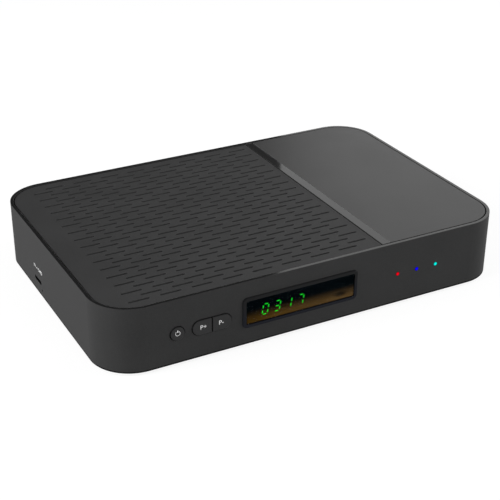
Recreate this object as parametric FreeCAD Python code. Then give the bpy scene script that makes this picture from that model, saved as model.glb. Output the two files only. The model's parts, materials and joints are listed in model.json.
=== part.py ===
import FreeCAD, Part
import os
from math import cos, pi, sin, sqrt

# Satellite television receiver, in millimetres.
# +X runs to the right along the front, +Y to the back and +Z up. The origin is on the surface that
# the feet stand on, at the middle of the footprint of the whole object, connectors included.

Vector = FreeCAD.Vector

# Case: a ring of walls whose flat top edge is the rim around the inlaid panels
case_width = 220.0
case_depth = 147.3
case_height = 33.5              # without the feet
corner_radius = 20.7
wall = 2.2
rim_width = 1.6
groove_width = 0.7              # between the rim and the panels
ledge_reach = 5.0               # how far the ledge under the panels stands in from the wall
ledge_thickness = 2.0
panel_recess = 1.8              # from the rim down to the ledge

# Top panels
vent_panel_thickness = 1.4
vent_panel_reach = 145.75       # from the left side of the case to the panel's right edge
divider_gap = 0.25              # open groove between the vent panel and the divider strip
divider_width = 4.6
panel_fit_gap = 0.05            # between the divider strip and the smooth panel
panel_corner = 0.4              # small radius of the corners beside the divider
bar_overlap = 2.4               # how far the cross bar reaches under each panel
slot_length = 10.7
slot_width = 1.2
slot_pitch = 15.64
slot_row_pitch = 4.25
slot_side_margin = 12.3
slot_bar_margin = 2.6
slot_row_margin = 5.2
peg_radius = 0.9
peg_inset = 2.4
peg_stake = 0.6                 # how far a peg stands out under the ledge
peg_gap = 0.08
peg_side_distance = 30.0        # from the middle of the case to the pegs on its sides

# Bottom cover and feet
cover_thickness = 2.0
cover_gap = 0.15
foot_height = 1.5
foot_radius = 6.5
foot_recess = 0.6
foot_gap = 0.05
foot_inset_x = 27.0
foot_inset_y = 24.0
foot_edge_radius = 0.4
cover_vent_length = 34.0
cover_vent_width = 2.4
cover_vent_pitch = 6.0
cover_vent_count = 9
cover_vent_columns = 2
cover_vent_column_pitch = 44.0

# Screws and the bosses that they go into
screw_radius = 1.25
screw_head_radius = 2.3
screw_head_height = 1.3
screw_gap = 0.05                # round the thread in a boss
screw_pass_gap = 0.3            # round the shank in a piece that it clamps
screw_drive_radius = 1.1
screw_drive_depth = 0.7
screw_length = 9.0
board_screw_length = 5.0
boss_radius = 3.2
boss_distance = 5.2             # from the side wall to the middle of a boss
boss_web = 2.4                  # thickness of the web from a boss to its wall
boss_overlap = 0.5              # how far a boss or web is sunk into the wall that carries it
case_boss_distance = 41.0       # from the middle of the case to its screw bosses, front and back

# Buttons
front_row_height = 15.8         # of the buttons above the lower edge of the case
power_button_x = -75.3
power_button_radius = 3.4
button_gap = 0.35
button_proud = 0.6
button_edge_radius = 0.25
button_travel = 0.3
button_lip = 1.1                # flange that holds a button behind the wall
button_lip_thickness = 1.2
button_lip_gap = 0.1
button_stem_radius = 1.8
program_button_x = -57.9
program_button_length = 19.7    # of the two halves together
program_button_height = 7.5
program_button_split = 0.55
switch_width = 6.2
switch_depth = 3.6
switch_bore_depth = 1.7
plunger_radius = 1.7
plunger_gap = 0.05
plunger_reach = 1.0             # how far a plunger stands out of its switch

# Display
display_x = -10.8
display_height = 16.9           # of its middle above the lower edge of the case
window_width = 59.2
window_height = 12.6
window_corner = 1.0
window_sink = 0.3               # front of the window below the front of the bezel
window_gap = 0.05
window_thickness = 1.2
window_skirt = 0.8              # wall of the tray behind the pane
window_flange = 1.2
window_flange_thickness = 1.0
bezel_band = 1.7
bezel_neck = 0.9
bezel_proud = 0.8
bezel_corner = 2.4
bezel_chamfer = 0.35
bezel_gap = 0.1
display_module_width = 30.2
display_module_gap = 0.25       # round the module inside the window's tray
display_module_inset = 3.0      # from the left end of the window
infrared_width = 6.0
infrared_height = 7.0
infrared_depth = 3.4
infrared_lens_radius = 2.2
infrared_inset = 9.0            # from the right end of the window

# Indicator lights
light_height = 16.2
first_light_inset = 65.6        # from the right side of the case
light_pitch = 11.4
light_colours = ["red", "blue", "cyan"]
light_radius = 1.0
light_gap = 0.05
light_proud = 0.15
pipe_radius = 1.5
pipe_flange_radius = 2.0
pipe_flange_thickness = 1.0
pipe_led_gap = 0.1
led_radius = 1.5
led_flange_radius = 1.9
led_flange_thickness = 0.8
led_length = 4.4

# Front board
front_board_gap = 8.6           # between the front wall and the board
board_thickness = 1.6
front_board_clear = 1.0         # above the cover and below the ledge
front_board_end = 12.0          # from each side of the case
front_boss_xs = [-86.5, 31.0, 80.0]
front_boss_radius = 2.6

# Ribbon cable from the front board to the main board
ribbon_x = 5.0
ribbon_width = 16.0
ribbon_thickness = 0.5
ribbon_bend = 5.0
ribbon_socket_width = 20.0
ribbon_socket_depth = 5.0
ribbon_socket_thickness = 4.5
ribbon_height = 12.0            # of the ribbon above the main board
ribbon_socket_inset = 6.0       # from the front edge of the main board

# Main board
standoff_height = 2.6
standoff_radius = 3.0
standoff_inset_x = 16.0         # from each side of the case
standoff_inset_y = 12.0         # from the front and back edges of the board
main_board_depth = 100.0
main_board_gap = 2.0            # to the side walls
main_board_back_gap = 0.5
main_board_clear = 1.0          # round the bosses and lugs that pass the board

# Rear panel
rear_flange = 1.2               # how far the panel laps the wall from inside
rear_flange_thickness = 1.4
rear_flange_clear = 0.2         # above the bottom cover
rear_panel_height = 23.4
rear_panel_sink = 0.2
rear_panel_gap = 0.15
rear_corner = 1.5
rear_end_margin = 8.2           # from the last connector to the end of the opening
rear_lug_width = 6.0
rear_lug_depth = 7.0
rear_lug_height = 16.0
rear_screw_height = 10.0        # above the bottom cover
rear_screw_inset = 3.6          # from the end of the opening
socket_gap = 0.25               # round a connector in the rear panel
socket_spacing = 6.5            # between two neighbouring connectors
socket_proud = 0.1

# Tuner and its two threaded connectors
tuner_width = 44.0
tuner_depth = 26.0
tuner_height = 14.0
tuner_back_gap = 0.4
tuner_axis_height = 8.4
connector_pitch = 20.0
connector_radius = 4.7625
connector_neck_radius = 4.6
connector_reach = 12.0          # beyond the back of the case
connector_bore_radius = 3.4
connector_bore_depth = 8.0
connector_hole_gap = 0.2
insulator_sink = 0.8
insulator_gap = 0.02
insulator_hole_radius = 0.6
insulator_hole_depth = 6.0
nut_across_flats = 11.1
nut_thickness = 2.2
nut_gap = 0.03
nut_sides = 6

# Network socket
network_width = 16.0
network_height = 13.4
network_depth = 21.0
network_mouth_width = 11.8
network_mouth_height = 8.2
network_mouth_depth = 15.0
network_mouth_lift = 3.4        # above the main board
network_latch_width = 6.2
network_latch_drop = 1.6
contact_count = 8
contact_pitch = 1.02
contact_thickness = 0.4
contact_drop = 2.2
contact_setback = 3.0
contact_run = 8.0

# USB socket
usb_width = 14.4
usb_height = 7.0
usb_depth = 14.0
usb_mouth_width = 12.6
usb_mouth_height = 5.2
usb_mouth_depth = 12.0
usb_tongue_width = 11.2
usb_tongue_thickness = 1.9
usb_tongue_lift = 0.5           # from the roof of the mouth
usb_tongue_setback = 1.0

# Digital video socket
video_width = 15.6
video_height = 6.4
video_depth = 12.0
video_mouth_width = 14.2
video_mouth_height = 4.7
video_mouth_depth = 10.0
video_mouth_cut = 1.5           # slanted lower corners
video_tongue_width = 11.4
video_tongue_thickness = 1.2
video_tongue_setback = 1.0

# Optical socket with its sprung shutter
optical_width = 10.4
optical_height = 10.4
optical_depth = 14.0
optical_mouth = 7.8
optical_mouth_depth = 11.0
shutter_thickness = 0.7
shutter_gap = 0.15
shutter_sink = 0.5
shutter_pin_radius = 0.5
shutter_pin_reach = 0.7
shutter_pin_gap = 0.06

# Round audio and video socket
av_width = 7.6
av_height = 7.0
av_depth = 11.0
av_nose_radius = 3.1
av_bore_radius = 1.8
av_bore_depth = 12.0

# Power inlet
inlet_width = 9.2
inlet_height = 11.0
inlet_depth = 14.0
inlet_bore_radius = 3.2
inlet_bore_depth = 9.5
inlet_axis_height = 6.2
inlet_pin_radius = 1.05
inlet_pin_sink = 0.8

# Left side: card slot and reset hole
card_y = 18.0                   # from the middle of the case
card_slot_width = 9.4
card_slot_height = 2.2
card_slot_corner = 0.5
card_socket_width = 12.6
card_socket_depth = 15.0
card_socket_height = 2.0
card_mouth_width = 9.4
card_mouth_height = 1.1
card_mouth_depth = 13.5
card_wall_gap = 0.4
reset_y = 12.6
reset_drop = 1.0                # of the pin hole below the main board
reset_hole_radius = 0.6
reset_width = 6.0
reset_depth = 3.6
reset_height = 2.0
reset_wall_gap = 3.0
reset_plunger_radius = 0.6
reset_plunger_reach = 1.3
reset_bore_depth = 1.6
reset_travel = 0.25

# Parts on the main board
processor_size = 19.0
processor_thickness = 1.6
processor_inset = 88.0          # from the right side of the case
processor_y = 6.0               # behind the middle of the case, as for the parts below
sink_size = 32.0
sink_base = 2.0
sink_height = 9.0
sink_fin_count = 9
sink_fin_thickness = 1.1
memory_width = 9.0
memory_length = 12.6
memory_thickness = 1.1
memory_distance = 27.0          # from the processor
memory_pitch = 15.0
memory_count = 2
capacitor_radius = 3.2
capacitor_height = 8.5
capacitor_edge_radius = 0.5
capacitor_pitch = 9.0
capacitor_count = 4
capacitor_inset = 36.0          # from the left side of the case to the first one
capacitor_y = 33.0
inductor_size = 7.2
inductor_height = 4.2
inductor_corner = 1.6
inductor_pitch = 11.0
inductor_count = 3
inductor_y = 18.0

# Heights and faces that the pieces share
base_z = foot_height
top_z = base_z + case_height
ledge_high = top_z - panel_recess
ledge_low = ledge_high - ledge_thickness
cover_top = base_z + cover_thickness
board_low = cover_top + standoff_height
board_high = board_low + board_thickness
case_mid_y = (bezel_proud - connector_reach) / 2
front_y = case_mid_y - case_depth / 2
back_y = case_mid_y + case_depth / 2
left_x = -case_width / 2
right_x = case_width / 2
front_inner_y = front_y + wall
back_inner_y = back_y - wall - rear_flange_thickness
rear_face_y = back_y - rear_panel_sink
socket_face_y = rear_face_y + socket_proud
left_inner_x = left_x + wall
right_inner_x = right_x - wall
panel_inset = rim_width + groove_width
vent_right_x = left_x + vent_panel_reach
divider_left_x = vent_right_x + divider_gap
divider_right_x = divider_left_x + divider_width
smooth_left_x = divider_right_x + panel_fit_gap
front_board_y = front_inner_y + front_board_gap
front_row_z = base_z + front_row_height
display_z = base_z + display_height
light_z = base_z + light_height
main_board_back_y = back_inner_y - main_board_back_gap
main_board_front_y = main_board_back_y - main_board_depth
rear_low_z = cover_top + rear_flange_clear + rear_flange
rear_high_z = rear_low_z + rear_panel_height
processor_x = right_x - processor_inset
capacitor_x = left_x + capacitor_inset
overcut = 1.0                   # how far a cutting solid runs past a face


def connector_row():
    """Middle of each connector along the back, packed with equal spaces, and the row's two ends."""
    widths = {"power": inlet_width, "av": av_width, "optical": optical_width, "video": video_width,
              "usb": usb_width, "network": network_width, "tuner": tuner_width}
    total = sum(widths.values()) + socket_spacing * (len(widths) - 1)
    ends = around(0, total)
    middles = {}
    x = ends[0]
    for name, width in widths.items():
        middles[name] = x + width / 2
        x += width + socket_spacing
    return middles, ends


def around(middle, size):
    """The pair of ends of a stretch with this middle and size."""
    return (middle - size / 2, middle + size / 2)


def widened(pair, margin):
    """The pair with both ends moved out by the margin."""
    return (pair[0] - margin, pair[1] + margin)


def block(x, y, z):
    """Box over three pairs of ends."""
    return Part.makeBox(x[1] - x[0], y[1] - y[0], z[1] - z[0], Vector(x[0], y[0], z[0]))


def rod(radius, start, end):
    """Cylinder from one point to another."""
    return Part.makeCylinder(radius, (end - start).Length, start, end - start)


def rod_x(radius, x, y, z):
    """Cylinder along X over the pair x."""
    return rod(radius, Vector(x[0], y, z), Vector(x[1], y, z))


def rod_y(radius, x, y, z):
    """Cylinder along Y over the pair y."""
    return rod(radius, Vector(x, y[0], z), Vector(x, y[1], z))


def rod_z(radius, x, y, z):
    """Cylinder along Z over the pair z."""
    return rod(radius, Vector(x, y, z[0]), Vector(x, y, z[1]))


def from_above(u, v):
    return Vector(u, v, 0)


def from_front(u, v):
    return Vector(u, 0, v)


def from_left(u, v):
    return Vector(0, u, v)


def rounded_loop(u, v, radii, place):
    """Wire of a rectangle over the pairs u and v, with a radius for each corner from (low, low) on."""
    corners = [(u[0], v[0]), (u[1], v[0]), (u[1], v[1]), (u[0], v[1])]
    travel = [(1, 0), (0, 1), (-1, 0), (0, -1)]
    arcs = []
    for number, (corner, radius) in enumerate(zip(corners, radii)):
        arriving = travel[number - 1]
        leaving = travel[number]
        start = (corner[0] - arriving[0] * radius, corner[1] - arriving[1] * radius)
        end = (corner[0] + leaving[0] * radius, corner[1] + leaving[1] * radius)
        centre = (start[0] + leaving[0] * radius, start[1] + leaving[1] * radius)
        middle = tuple(centre[i] + (corner[i] - centre[i]) / sqrt(2) for i in (0, 1))
        arcs.append([place(*start), place(*middle), place(*end)])
    edges = []
    for number, (start, middle, end) in enumerate(arcs):
        if radii[number] > 0:
            edges.append(Part.Arc(start, middle, end).toShape())
        following = arcs[(number + 1) % len(arcs)][0]
        if (following - end).Length > 1e-6:
            edges.append(Part.LineSegment(end, following).toShape())
    return Part.Wire(edges)


def plate_z(x, y, z, radii, holes=()):
    """Rounded plate seen from above, over the pair z, with loops cut out of it."""
    loops = [rounded_loop(x, y, radii, from_above), *holes]
    face = Part.makeFace(loops, "Part::FaceMakerBullseye")
    solid = face.extrude(Vector(0, 0, z[1] - z[0]))
    return solid.translated(Vector(0, 0, z[0]))


def plate_y(x, z, y, radii):
    """Rounded plate seen from the front, over the pair y."""
    face = Part.makeFace([rounded_loop(x, z, radii, from_front)], "Part::FaceMakerBullseye")
    solid = face.extrude(Vector(0, y[1] - y[0], 0))
    return solid.translated(Vector(0, y[0], 0))


def plate_x(y, z, x, radii):
    """Rounded plate seen from the left side, over the pair x."""
    face = Part.makeFace([rounded_loop(y, z, radii, from_left)], "Part::FaceMakerBullseye")
    solid = face.extrude(Vector(x[1] - x[0], 0, 0))
    return solid.translated(Vector(x[0], 0, 0))


def inset_radius(inset):
    """Corner radius of the case's outline pulled in by the inset."""
    return max(corner_radius - inset, panel_corner)


def case_plate(z, inset, holes=()):
    """Plate with the outline of the case pulled in by the inset."""
    x = widened((left_x, right_x), -inset)
    y = widened((front_y, back_y), -inset)
    return plate_z(x, y, z, [inset_radius(inset)] * 4, holes)


def edges_on_plane(shape, axis, value):
    """Edges of the shape that lie wholly in the plane axis = value, with axis 0, 1 or 2."""
    found = []
    for edge in shape.Edges:
        box = edge.BoundBox
        low = (box.XMin, box.YMin, box.ZMin)[axis]
        high = (box.XMax, box.YMax, box.ZMax)[axis]
        if abs(low - value) < 1e-4 and abs(high - value) < 1e-4:
            found.append(edge)
    return found


def case_boss_spots():
    """Middles of the four screw bosses along the side walls."""
    return [(x, case_mid_y + side * case_boss_distance)
            for x in widened((left_inner_x, right_inner_x), -boss_distance) for side in (-1, 1)]


def case_bosses(margin, z):
    """Bosses with the webs that join them to the side walls, thicker by the margin."""
    solids = []
    for x, y in case_boss_spots():
        side_x = left_inner_x - boss_overlap if x < 0 else right_inner_x + boss_overlap
        web_x = (min(x, side_x), max(x, side_x))
        solids.append(rod_z(boss_radius + margin, x, y, z))
        solids.append(block(web_x, around(y, boss_web + 2 * margin), z))
    return solids


def standoff_spots():
    """Middles of the four posts under the main board."""
    return [(x, y) for x in (left_x + standoff_inset_x, right_x - standoff_inset_x)
            for y in (main_board_front_y + standoff_inset_y, main_board_back_y - standoff_inset_y)]


def rear_opening_x():
    """Pair of ends of the opening in the back wall."""
    return widened(connector_row()[1], rear_end_margin)


def rear_screw_xs():
    return widened(rear_opening_x(), -rear_screw_inset)


def foot_spots():
    """Name and middle of each foot."""
    return {f"{depth}_{side}_foot": (x, y)
            for side, x in (("left", left_x + foot_inset_x), ("right", right_x - foot_inset_x))
            for depth, y in (("front", front_y + foot_inset_y), ("rear", back_y - foot_inset_y))}


def vent_peg_spots():
    side_x = left_x + panel_inset + peg_inset
    middle_x = (left_x + vent_right_x) / 2
    edge_ys = widened((front_y, back_y), -panel_inset - peg_inset)
    side_ys = around(case_mid_y, 2 * peg_side_distance)
    return [(side_x, y) for y in side_ys] + [(middle_x, y) for y in edge_ys]


def smooth_peg_spots():
    side_x = right_x - panel_inset - peg_inset
    middle_x = (smooth_left_x + right_x) / 2
    edge_ys = widened((front_y, back_y), -panel_inset - peg_inset)
    side_ys = around(case_mid_y, 2 * peg_side_distance)
    return [(side_x, y) for y in side_ys] + [(middle_x, y) for y in edge_ys]


def divider_peg_spots():
    middle_x = (divider_left_x + divider_right_x) / 2
    return [(middle_x, y) for y in around(case_mid_y, 2 * peg_side_distance)]


def pegs(spots):
    """Pegs under a top panel, through the ledge."""
    return [rod_z(peg_radius, x, y, (ledge_low - peg_stake, ledge_high)) for x, y in spots]


def button_outlines(margin):
    """Loops pairs (x, z, radii) of the power opening and the pill-shaped opening, widened."""
    power = around(power_button_x, 2 * power_button_radius)
    power_z = around(front_row_z, 2 * power_button_radius)
    pill = around(program_button_x, program_button_length)
    pill_z = around(front_row_z, program_button_height)
    return [(widened(power, margin), widened(power_z, margin), [power_button_radius + margin] * 4),
            (widened(pill, margin), widened(pill_z, margin), [program_button_height / 2 + margin] * 4)]


def shell_openings():
    """Everything that is cut through the walls and the ledge."""
    through_front = (front_y - overcut, front_inner_y + overcut)
    cuts = [plate_y(x, z, through_front, radii) for x, z, radii in button_outlines(button_gap)]
    neck = bezel_neck + bezel_gap
    cuts.append(plate_y(widened(around(display_x, window_width), neck),
                        widened(around(display_z, window_height), neck),
                        through_front, [window_corner + neck] * 4))
    for x in light_xs():
        cuts.append(rod_y(light_radius + light_gap, x, through_front, light_z))
    through_left = (left_x - overcut, left_inner_x + overcut)
    cuts.append(plate_x(around(case_mid_y + card_y, card_slot_width), around(card_z(), card_slot_height),
                        through_left, [card_slot_corner] * 4))
    cuts.append(rod_x(reset_hole_radius, through_left, case_mid_y + reset_y, reset_z()))
    cuts.append(plate_y(rear_opening_x(), (rear_low_z, rear_high_z),
                        (back_y - wall - overcut, back_y + overcut), [rear_corner] * 4))
    for x, y in vent_peg_spots() + smooth_peg_spots() + divider_peg_spots():
        cuts.append(rod_z(peg_radius + peg_gap, x, y, (ledge_low - overcut, ledge_high + overcut)))
    return cuts


def card_z():
    """Middle height of the card slot, in line with the socket's mouth."""
    return board_high + card_socket_height / 2


def reset_z():
    """Height of the reset hole and its switch, under the main board."""
    return board_low - reset_drop


def light_xs():
    return [right_x - first_light_inset + number * light_pitch for number in range(len(light_colours))]


def upper_shell():
    hollow = case_plate((base_z - overcut, ledge_low), wall)
    recess = case_plate((ledge_high, top_z + overcut), rim_width)
    ledge_hole = case_plate((ledge_low - overcut, ledge_high + overcut), wall + ledge_reach)
    bar_x = (vent_right_x - bar_overlap, divider_right_x + bar_overlap)
    ledge_hole = ledge_hole.cut(block(bar_x, (front_y, back_y), (base_z, top_z + overcut)))
    shell = case_plate((base_z, top_z), 0).cut([hollow, recess, ledge_hole])
    bosses = case_bosses(0, (cover_top, ledge_high))
    bosses += [rod_y(front_boss_radius, x, (front_inner_y - boss_overlap, front_board_y), front_row_z)
               for x in front_boss_xs]
    pilots = [rod_z(screw_radius + screw_gap, x, y, (base_z - overcut, base_z + screw_length + overcut))
              for x, y in case_boss_spots()]
    pilots += [rod_y(screw_radius + screw_gap, x,
                     (front_board_y - board_screw_length, front_board_y + overcut), front_row_z)
               for x in front_boss_xs]
    return shell.fuse(bosses).cut(pilots + shell_openings()).removeSplitter()


def slot_loops():
    """Outlines of the vent panel's staggered rows of slots."""
    radius = slot_width / 2
    low_y, high_y = widened((front_y, back_y), -panel_inset - slot_row_margin)
    rows = int((high_y - low_y) / slot_row_pitch) + 1
    first_y = (low_y + high_y) / 2 + (rows - 1) * slot_row_pitch / 2
    first_x = left_x + panel_inset + slot_side_margin
    stagger = slot_pitch / 2
    room = vent_right_x - slot_bar_margin - first_x - stagger - slot_length
    columns = int(room / slot_pitch) + 1
    loops = []
    for row in range(rows):
        y = first_y - row * slot_row_pitch
        shift = stagger if row % 2 == 0 else 0
        for column in range(columns):
            x = first_x + shift + column * slot_pitch
            loops.append(rounded_loop((x, x + slot_length), (y - radius, y + radius),
                                      [radius] * 4, from_above))
    return loops


def vent_panel():
    x = (left_x + panel_inset, vent_right_x)
    y = widened((front_y, back_y), -panel_inset)
    outer = inset_radius(panel_inset)
    radii = [outer, panel_corner, panel_corner, outer]
    panel = plate_z(x, y, (ledge_high, ledge_high + vent_panel_thickness), radii, slot_loops())
    return panel.fuse(pegs(vent_peg_spots())).removeSplitter()


def divider_strip():
    y = widened((front_y, back_y), -panel_inset)
    strip = block((divider_left_x, divider_right_x), y, (ledge_high, top_z))
    return strip.fuse(pegs(divider_peg_spots())).removeSplitter()


def smooth_panel():
    x = (smooth_left_x, right_x - panel_inset)
    y = widened((front_y, back_y), -panel_inset)
    outer = inset_radius(panel_inset)
    radii = [panel_corner, outer, outer, panel_corner]
    panel = plate_z(x, y, (ledge_high, top_z), radii)
    return panel.fuse(pegs(smooth_peg_spots())).removeSplitter()


def cover_vent_loops():
    """Outlines of the slots in the bottom cover."""
    radius = cover_vent_width / 2
    loops = []
    for column in range(cover_vent_columns):
        x = (column - (cover_vent_columns - 1) / 2) * cover_vent_column_pitch
        for row in range(cover_vent_count):
            y = case_mid_y + (row - (cover_vent_count - 1) / 2) * cover_vent_pitch
            loops.append(rounded_loop(around(x, cover_vent_length), around(y, cover_vent_width),
                                      [radius] * 4, from_above))
    return loops


def bottom_cover():
    cover = case_plate((base_z, cover_top), wall + cover_gap, cover_vent_loops())
    cuts = [rod_z(foot_radius + foot_gap, x, y, (base_z - overcut, base_z + foot_recess))
            for x, y in foot_spots().values()]
    for x, y in case_boss_spots():
        cuts.append(rod_z(screw_head_radius + screw_pass_gap, x, y,
                          (base_z - overcut, base_z + screw_head_height)))
        cuts.append(rod_z(screw_radius + screw_pass_gap, x, y, (base_z, cover_top + overcut)))
    posts = [rod_z(standoff_radius, x, y, (cover_top, board_low)) for x, y in standoff_spots()]
    lug_y = (back_inner_y - rear_lug_depth, back_inner_y)
    for x in rear_screw_xs():
        posts.append(block(around(x, rear_lug_width), lug_y, (cover_top, cover_top + rear_lug_height)))
    for x, y in standoff_spots():
        depth = board_screw_length - screw_head_height
        cuts.append(rod_z(screw_radius + screw_gap, x, y, (board_high - depth, board_low + overcut)))
    for x in rear_screw_xs():
        cuts.append(rod_y(screw_radius + screw_gap, x, lug_y, cover_top + rear_screw_height))
    return cover.fuse(posts).cut(cuts).removeSplitter()


def foot(x, y):
    solid = rod_z(foot_radius, x, y, (0, base_z + foot_recess))
    return solid.makeFillet(foot_edge_radius, edges_on_plane(solid, 2, 0))


def screw(head_point, direction, length):
    """Pan-head screw whose head rests on head_point and whose shank runs along the direction."""
    back = direction * -screw_head_height
    head = rod(screw_head_radius, head_point + back, head_point)
    shank = rod(screw_radius, head_point, head_point + direction * length)
    drive = rod(screw_drive_radius, head_point + back, head_point + back + direction * screw_drive_depth)
    return head.fuse(shank).cut(drive).removeSplitter()


def case_screws():
    up = Vector(0, 0, 1)
    return [screw(Vector(x, y, base_z + screw_head_height), up, screw_length - screw_head_height)
            for x, y in case_boss_spots()]


def main_board_screws():
    down = Vector(0, 0, -1)
    return [screw(Vector(x, y, board_high), down, board_screw_length - screw_head_height)
            for x, y in standoff_spots()]


def rear_panel_screws():
    inwards = Vector(0, -1, 0)
    return [screw(Vector(x, rear_face_y, cover_top + rear_screw_height), inwards, screw_length)
            for x in rear_screw_xs()]


def front_board_screws():
    forwards = Vector(0, -1, 0)
    return [screw(Vector(x, front_board_y + board_thickness, front_row_z), forwards, board_screw_length)
            for x in front_boss_xs]


def rear_panel():
    x = rear_opening_x()
    z = (rear_low_z, rear_high_z)
    insert = plate_y(widened(x, -rear_panel_gap), widened(z, -rear_panel_gap),
                     (back_y - wall - overcut, rear_face_y), [rear_corner] * 4)
    flange = block(widened(x, rear_flange), (back_inner_y, back_y - wall), widened(z, rear_flange))
    through = (back_inner_y - overcut, back_y + overcut)
    middles = connector_row()[0]
    cuts = [rod_y(connector_radius + connector_hole_gap, x, through, tuner_axis_z())
            for x in connector_xs()]
    for name, width, height in (("network", network_width, network_height),
                                ("usb", usb_width, usb_height),
                                ("video", video_width, video_height),
                                ("optical", optical_width, optical_height),
                                ("power", inlet_width, inlet_height)):
        hole_x = widened(around(middles[name], width), socket_gap)
        hole_z = (board_high - socket_gap, board_high + height + socket_gap)
        cuts.append(block(hole_x, through, hole_z))
    cuts.append(rod_y(av_nose_radius + socket_gap, middles["av"], through, board_high + av_height / 2))
    for screw_x in rear_screw_xs():
        cuts.append(rod_y(screw_radius + screw_pass_gap, screw_x, through,
                          cover_top + rear_screw_height))
    return insert.fuse(flange).cut(cuts).removeSplitter()


def button_body(x, z, radii, lip_x, stem_x):
    """Button with a rounded front edge, a holding lip behind the wall and a stem to its switch."""
    lip_y = front_inner_y + button_lip_gap
    back_y_of_lip = lip_y + button_lip_thickness
    front = front_y - button_proud
    cap = plate_y(x, z, (front, back_y_of_lip), radii)
    cap = cap.makeFillet(button_edge_radius, edges_on_plane(cap, 1, front))
    lip_radii = [radius + button_lip if radius > 0 else 0 for radius in radii]
    lip = plate_y(lip_x, widened(z, button_lip), (lip_y, back_y_of_lip), lip_radii)
    stem = rod_y(button_stem_radius, stem_x, (back_y_of_lip, plunger_front_y()), front_row_z)
    return cap.fuse([lip, stem]).removeSplitter()


def plunger_front_y():
    return front_board_y - switch_depth - plunger_reach


def power_button():
    x, z, radii = button_outlines(0)[0]
    return button_body(x, z, radii, widened(x, button_lip), power_button_x)


def program_half(side):
    """One half of the pill: side -1 on the left and +1 on the right."""
    x, z, radii = button_outlines(0)[1]
    inner = program_button_x + side * program_button_split / 2
    round_end = radii[0]
    if side < 0:
        return button_body((x[0], inner), z, [round_end, 0, 0, round_end],
                           (x[0] - button_lip, inner), switch_xs()[1])
    return button_body((inner, x[1]), z, [0, round_end, round_end, 0],
                       (inner, x[1] + button_lip), switch_xs()[2])


def switch_xs():
    """Middles of the three push switches: power, programme up and programme down."""
    quarter = program_button_length / 4
    return [power_button_x, program_button_x - quarter, program_button_x + quarter]


def push_switch(x):
    body_y = (front_board_y - switch_depth, front_board_y)
    body = block(around(x, switch_width), body_y, around(front_row_z, switch_width))
    bore = rod_y(plunger_radius + plunger_gap, x,
                 (body_y[0] - overcut, body_y[0] + switch_bore_depth), front_row_z)
    return body.cut(bore)


def switch_plunger(x):
    inner_end = front_board_y - switch_depth + switch_bore_depth - button_travel - plunger_gap
    return rod_y(plunger_radius, x, (plunger_front_y(), inner_end), front_row_z)


def display_bezel():
    width = around(display_x, window_width)
    height = around(display_z, window_height)
    front = front_y - bezel_proud
    frame = plate_y(widened(width, bezel_band), widened(height, bezel_band),
                    (front, front_y), [bezel_corner] * 4)
    frame = frame.makeChamfer(bezel_chamfer, edges_on_plane(frame, 1, front))
    neck = plate_y(widened(width, bezel_neck), widened(height, bezel_neck),
                   (front_y - bezel_proud / 2, front_inner_y), [window_corner + bezel_neck] * 4)
    hole = plate_y(width, height, (front - overcut, front_inner_y + overcut), [window_corner] * 4)
    return frame.fuse(neck).cut(hole).removeSplitter()


def display_window():
    """Smoked pane with a shallow tray behind it, which the display module reaches into."""
    width = around(display_x, window_width)
    height = around(display_z, window_height)
    pane = plate_y(widened(width, -window_gap), widened(height, -window_gap),
                   (front_y - bezel_proud + window_sink, front_inner_y + window_flange_thickness),
                   [window_corner - window_gap] * 4)
    reach = bezel_neck + window_flange
    flange = plate_y(widened(width, reach), widened(height, reach),
                     (front_inner_y, front_inner_y + window_flange_thickness), [window_corner] * 4)
    hollow = block(widened(width, -window_gap - window_skirt), (pane_back_y(), front_board_y),
                   widened(height, -window_gap - window_skirt))
    return pane.fuse(flange).cut(hollow).removeSplitter()


def pane_back_y():
    return front_y - bezel_proud + window_sink + window_thickness


def display_module():
    left = display_x - window_width / 2 + display_module_inset
    around_module = window_gap + window_skirt + display_module_gap
    return block((left, left + display_module_width), (pane_back_y() + display_module_gap, front_board_y),
                 widened(around(display_z, window_height), -around_module))


def infrared_receiver():
    x = display_x + window_width / 2 - infrared_inset
    body_y = (front_board_y - infrared_depth, front_board_y)
    body = block(around(x, infrared_width), body_y, around(display_z, infrared_height))
    lens = Part.makeSphere(infrared_lens_radius, Vector(x, body_y[0], display_z))
    behind = block(widened(around(x, infrared_width), overcut), widened(body_y, overcut),
                   widened(around(display_z, infrared_height), overcut))
    behind.translate(Vector(0, overcut, 0))
    return body.fuse(lens.cut(behind)).removeSplitter()


def light_pipe(x):
    lens = rod_y(light_radius, x, (front_y - light_proud, front_inner_y), light_z)
    flange = rod_y(pipe_flange_radius, x, (front_inner_y, front_inner_y + pipe_flange_thickness), light_z)
    end_y = front_board_y - led_length - pipe_led_gap
    guide = rod_y(pipe_radius, x, (front_inner_y, end_y), light_z)
    return lens.fuse([flange, guide]).removeSplitter()


def led(x):
    dome_y = front_board_y - led_length + led_radius
    flange = rod_y(led_flange_radius, x, (front_board_y - led_flange_thickness, front_board_y), light_z)
    body = rod_y(led_radius, x, (dome_y, front_board_y), light_z)
    dome = Part.makeSphere(led_radius, Vector(x, dome_y, light_z))
    return body.fuse([flange, dome]).removeSplitter()


def front_board():
    x = widened((left_x, right_x), -front_board_end)
    z = (cover_top + front_board_clear, ledge_low - front_board_clear)
    board = block(x, (front_board_y, front_board_y + board_thickness), z)
    holes = [rod_y(screw_radius + screw_pass_gap, spot,
                   (front_board_y - overcut, front_board_y + board_thickness + overcut), front_row_z)
             for spot in front_boss_xs]
    return board.cut(holes)


def ribbon_ends():
    """Where the ribbon leaves the front socket and where it enters the main one: (y, z) each."""
    start = (front_board_y + board_thickness + ribbon_socket_thickness, board_high + ribbon_height)
    end = (main_board_front_y + ribbon_socket_inset, board_high + ribbon_socket_thickness)
    return start, end


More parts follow.
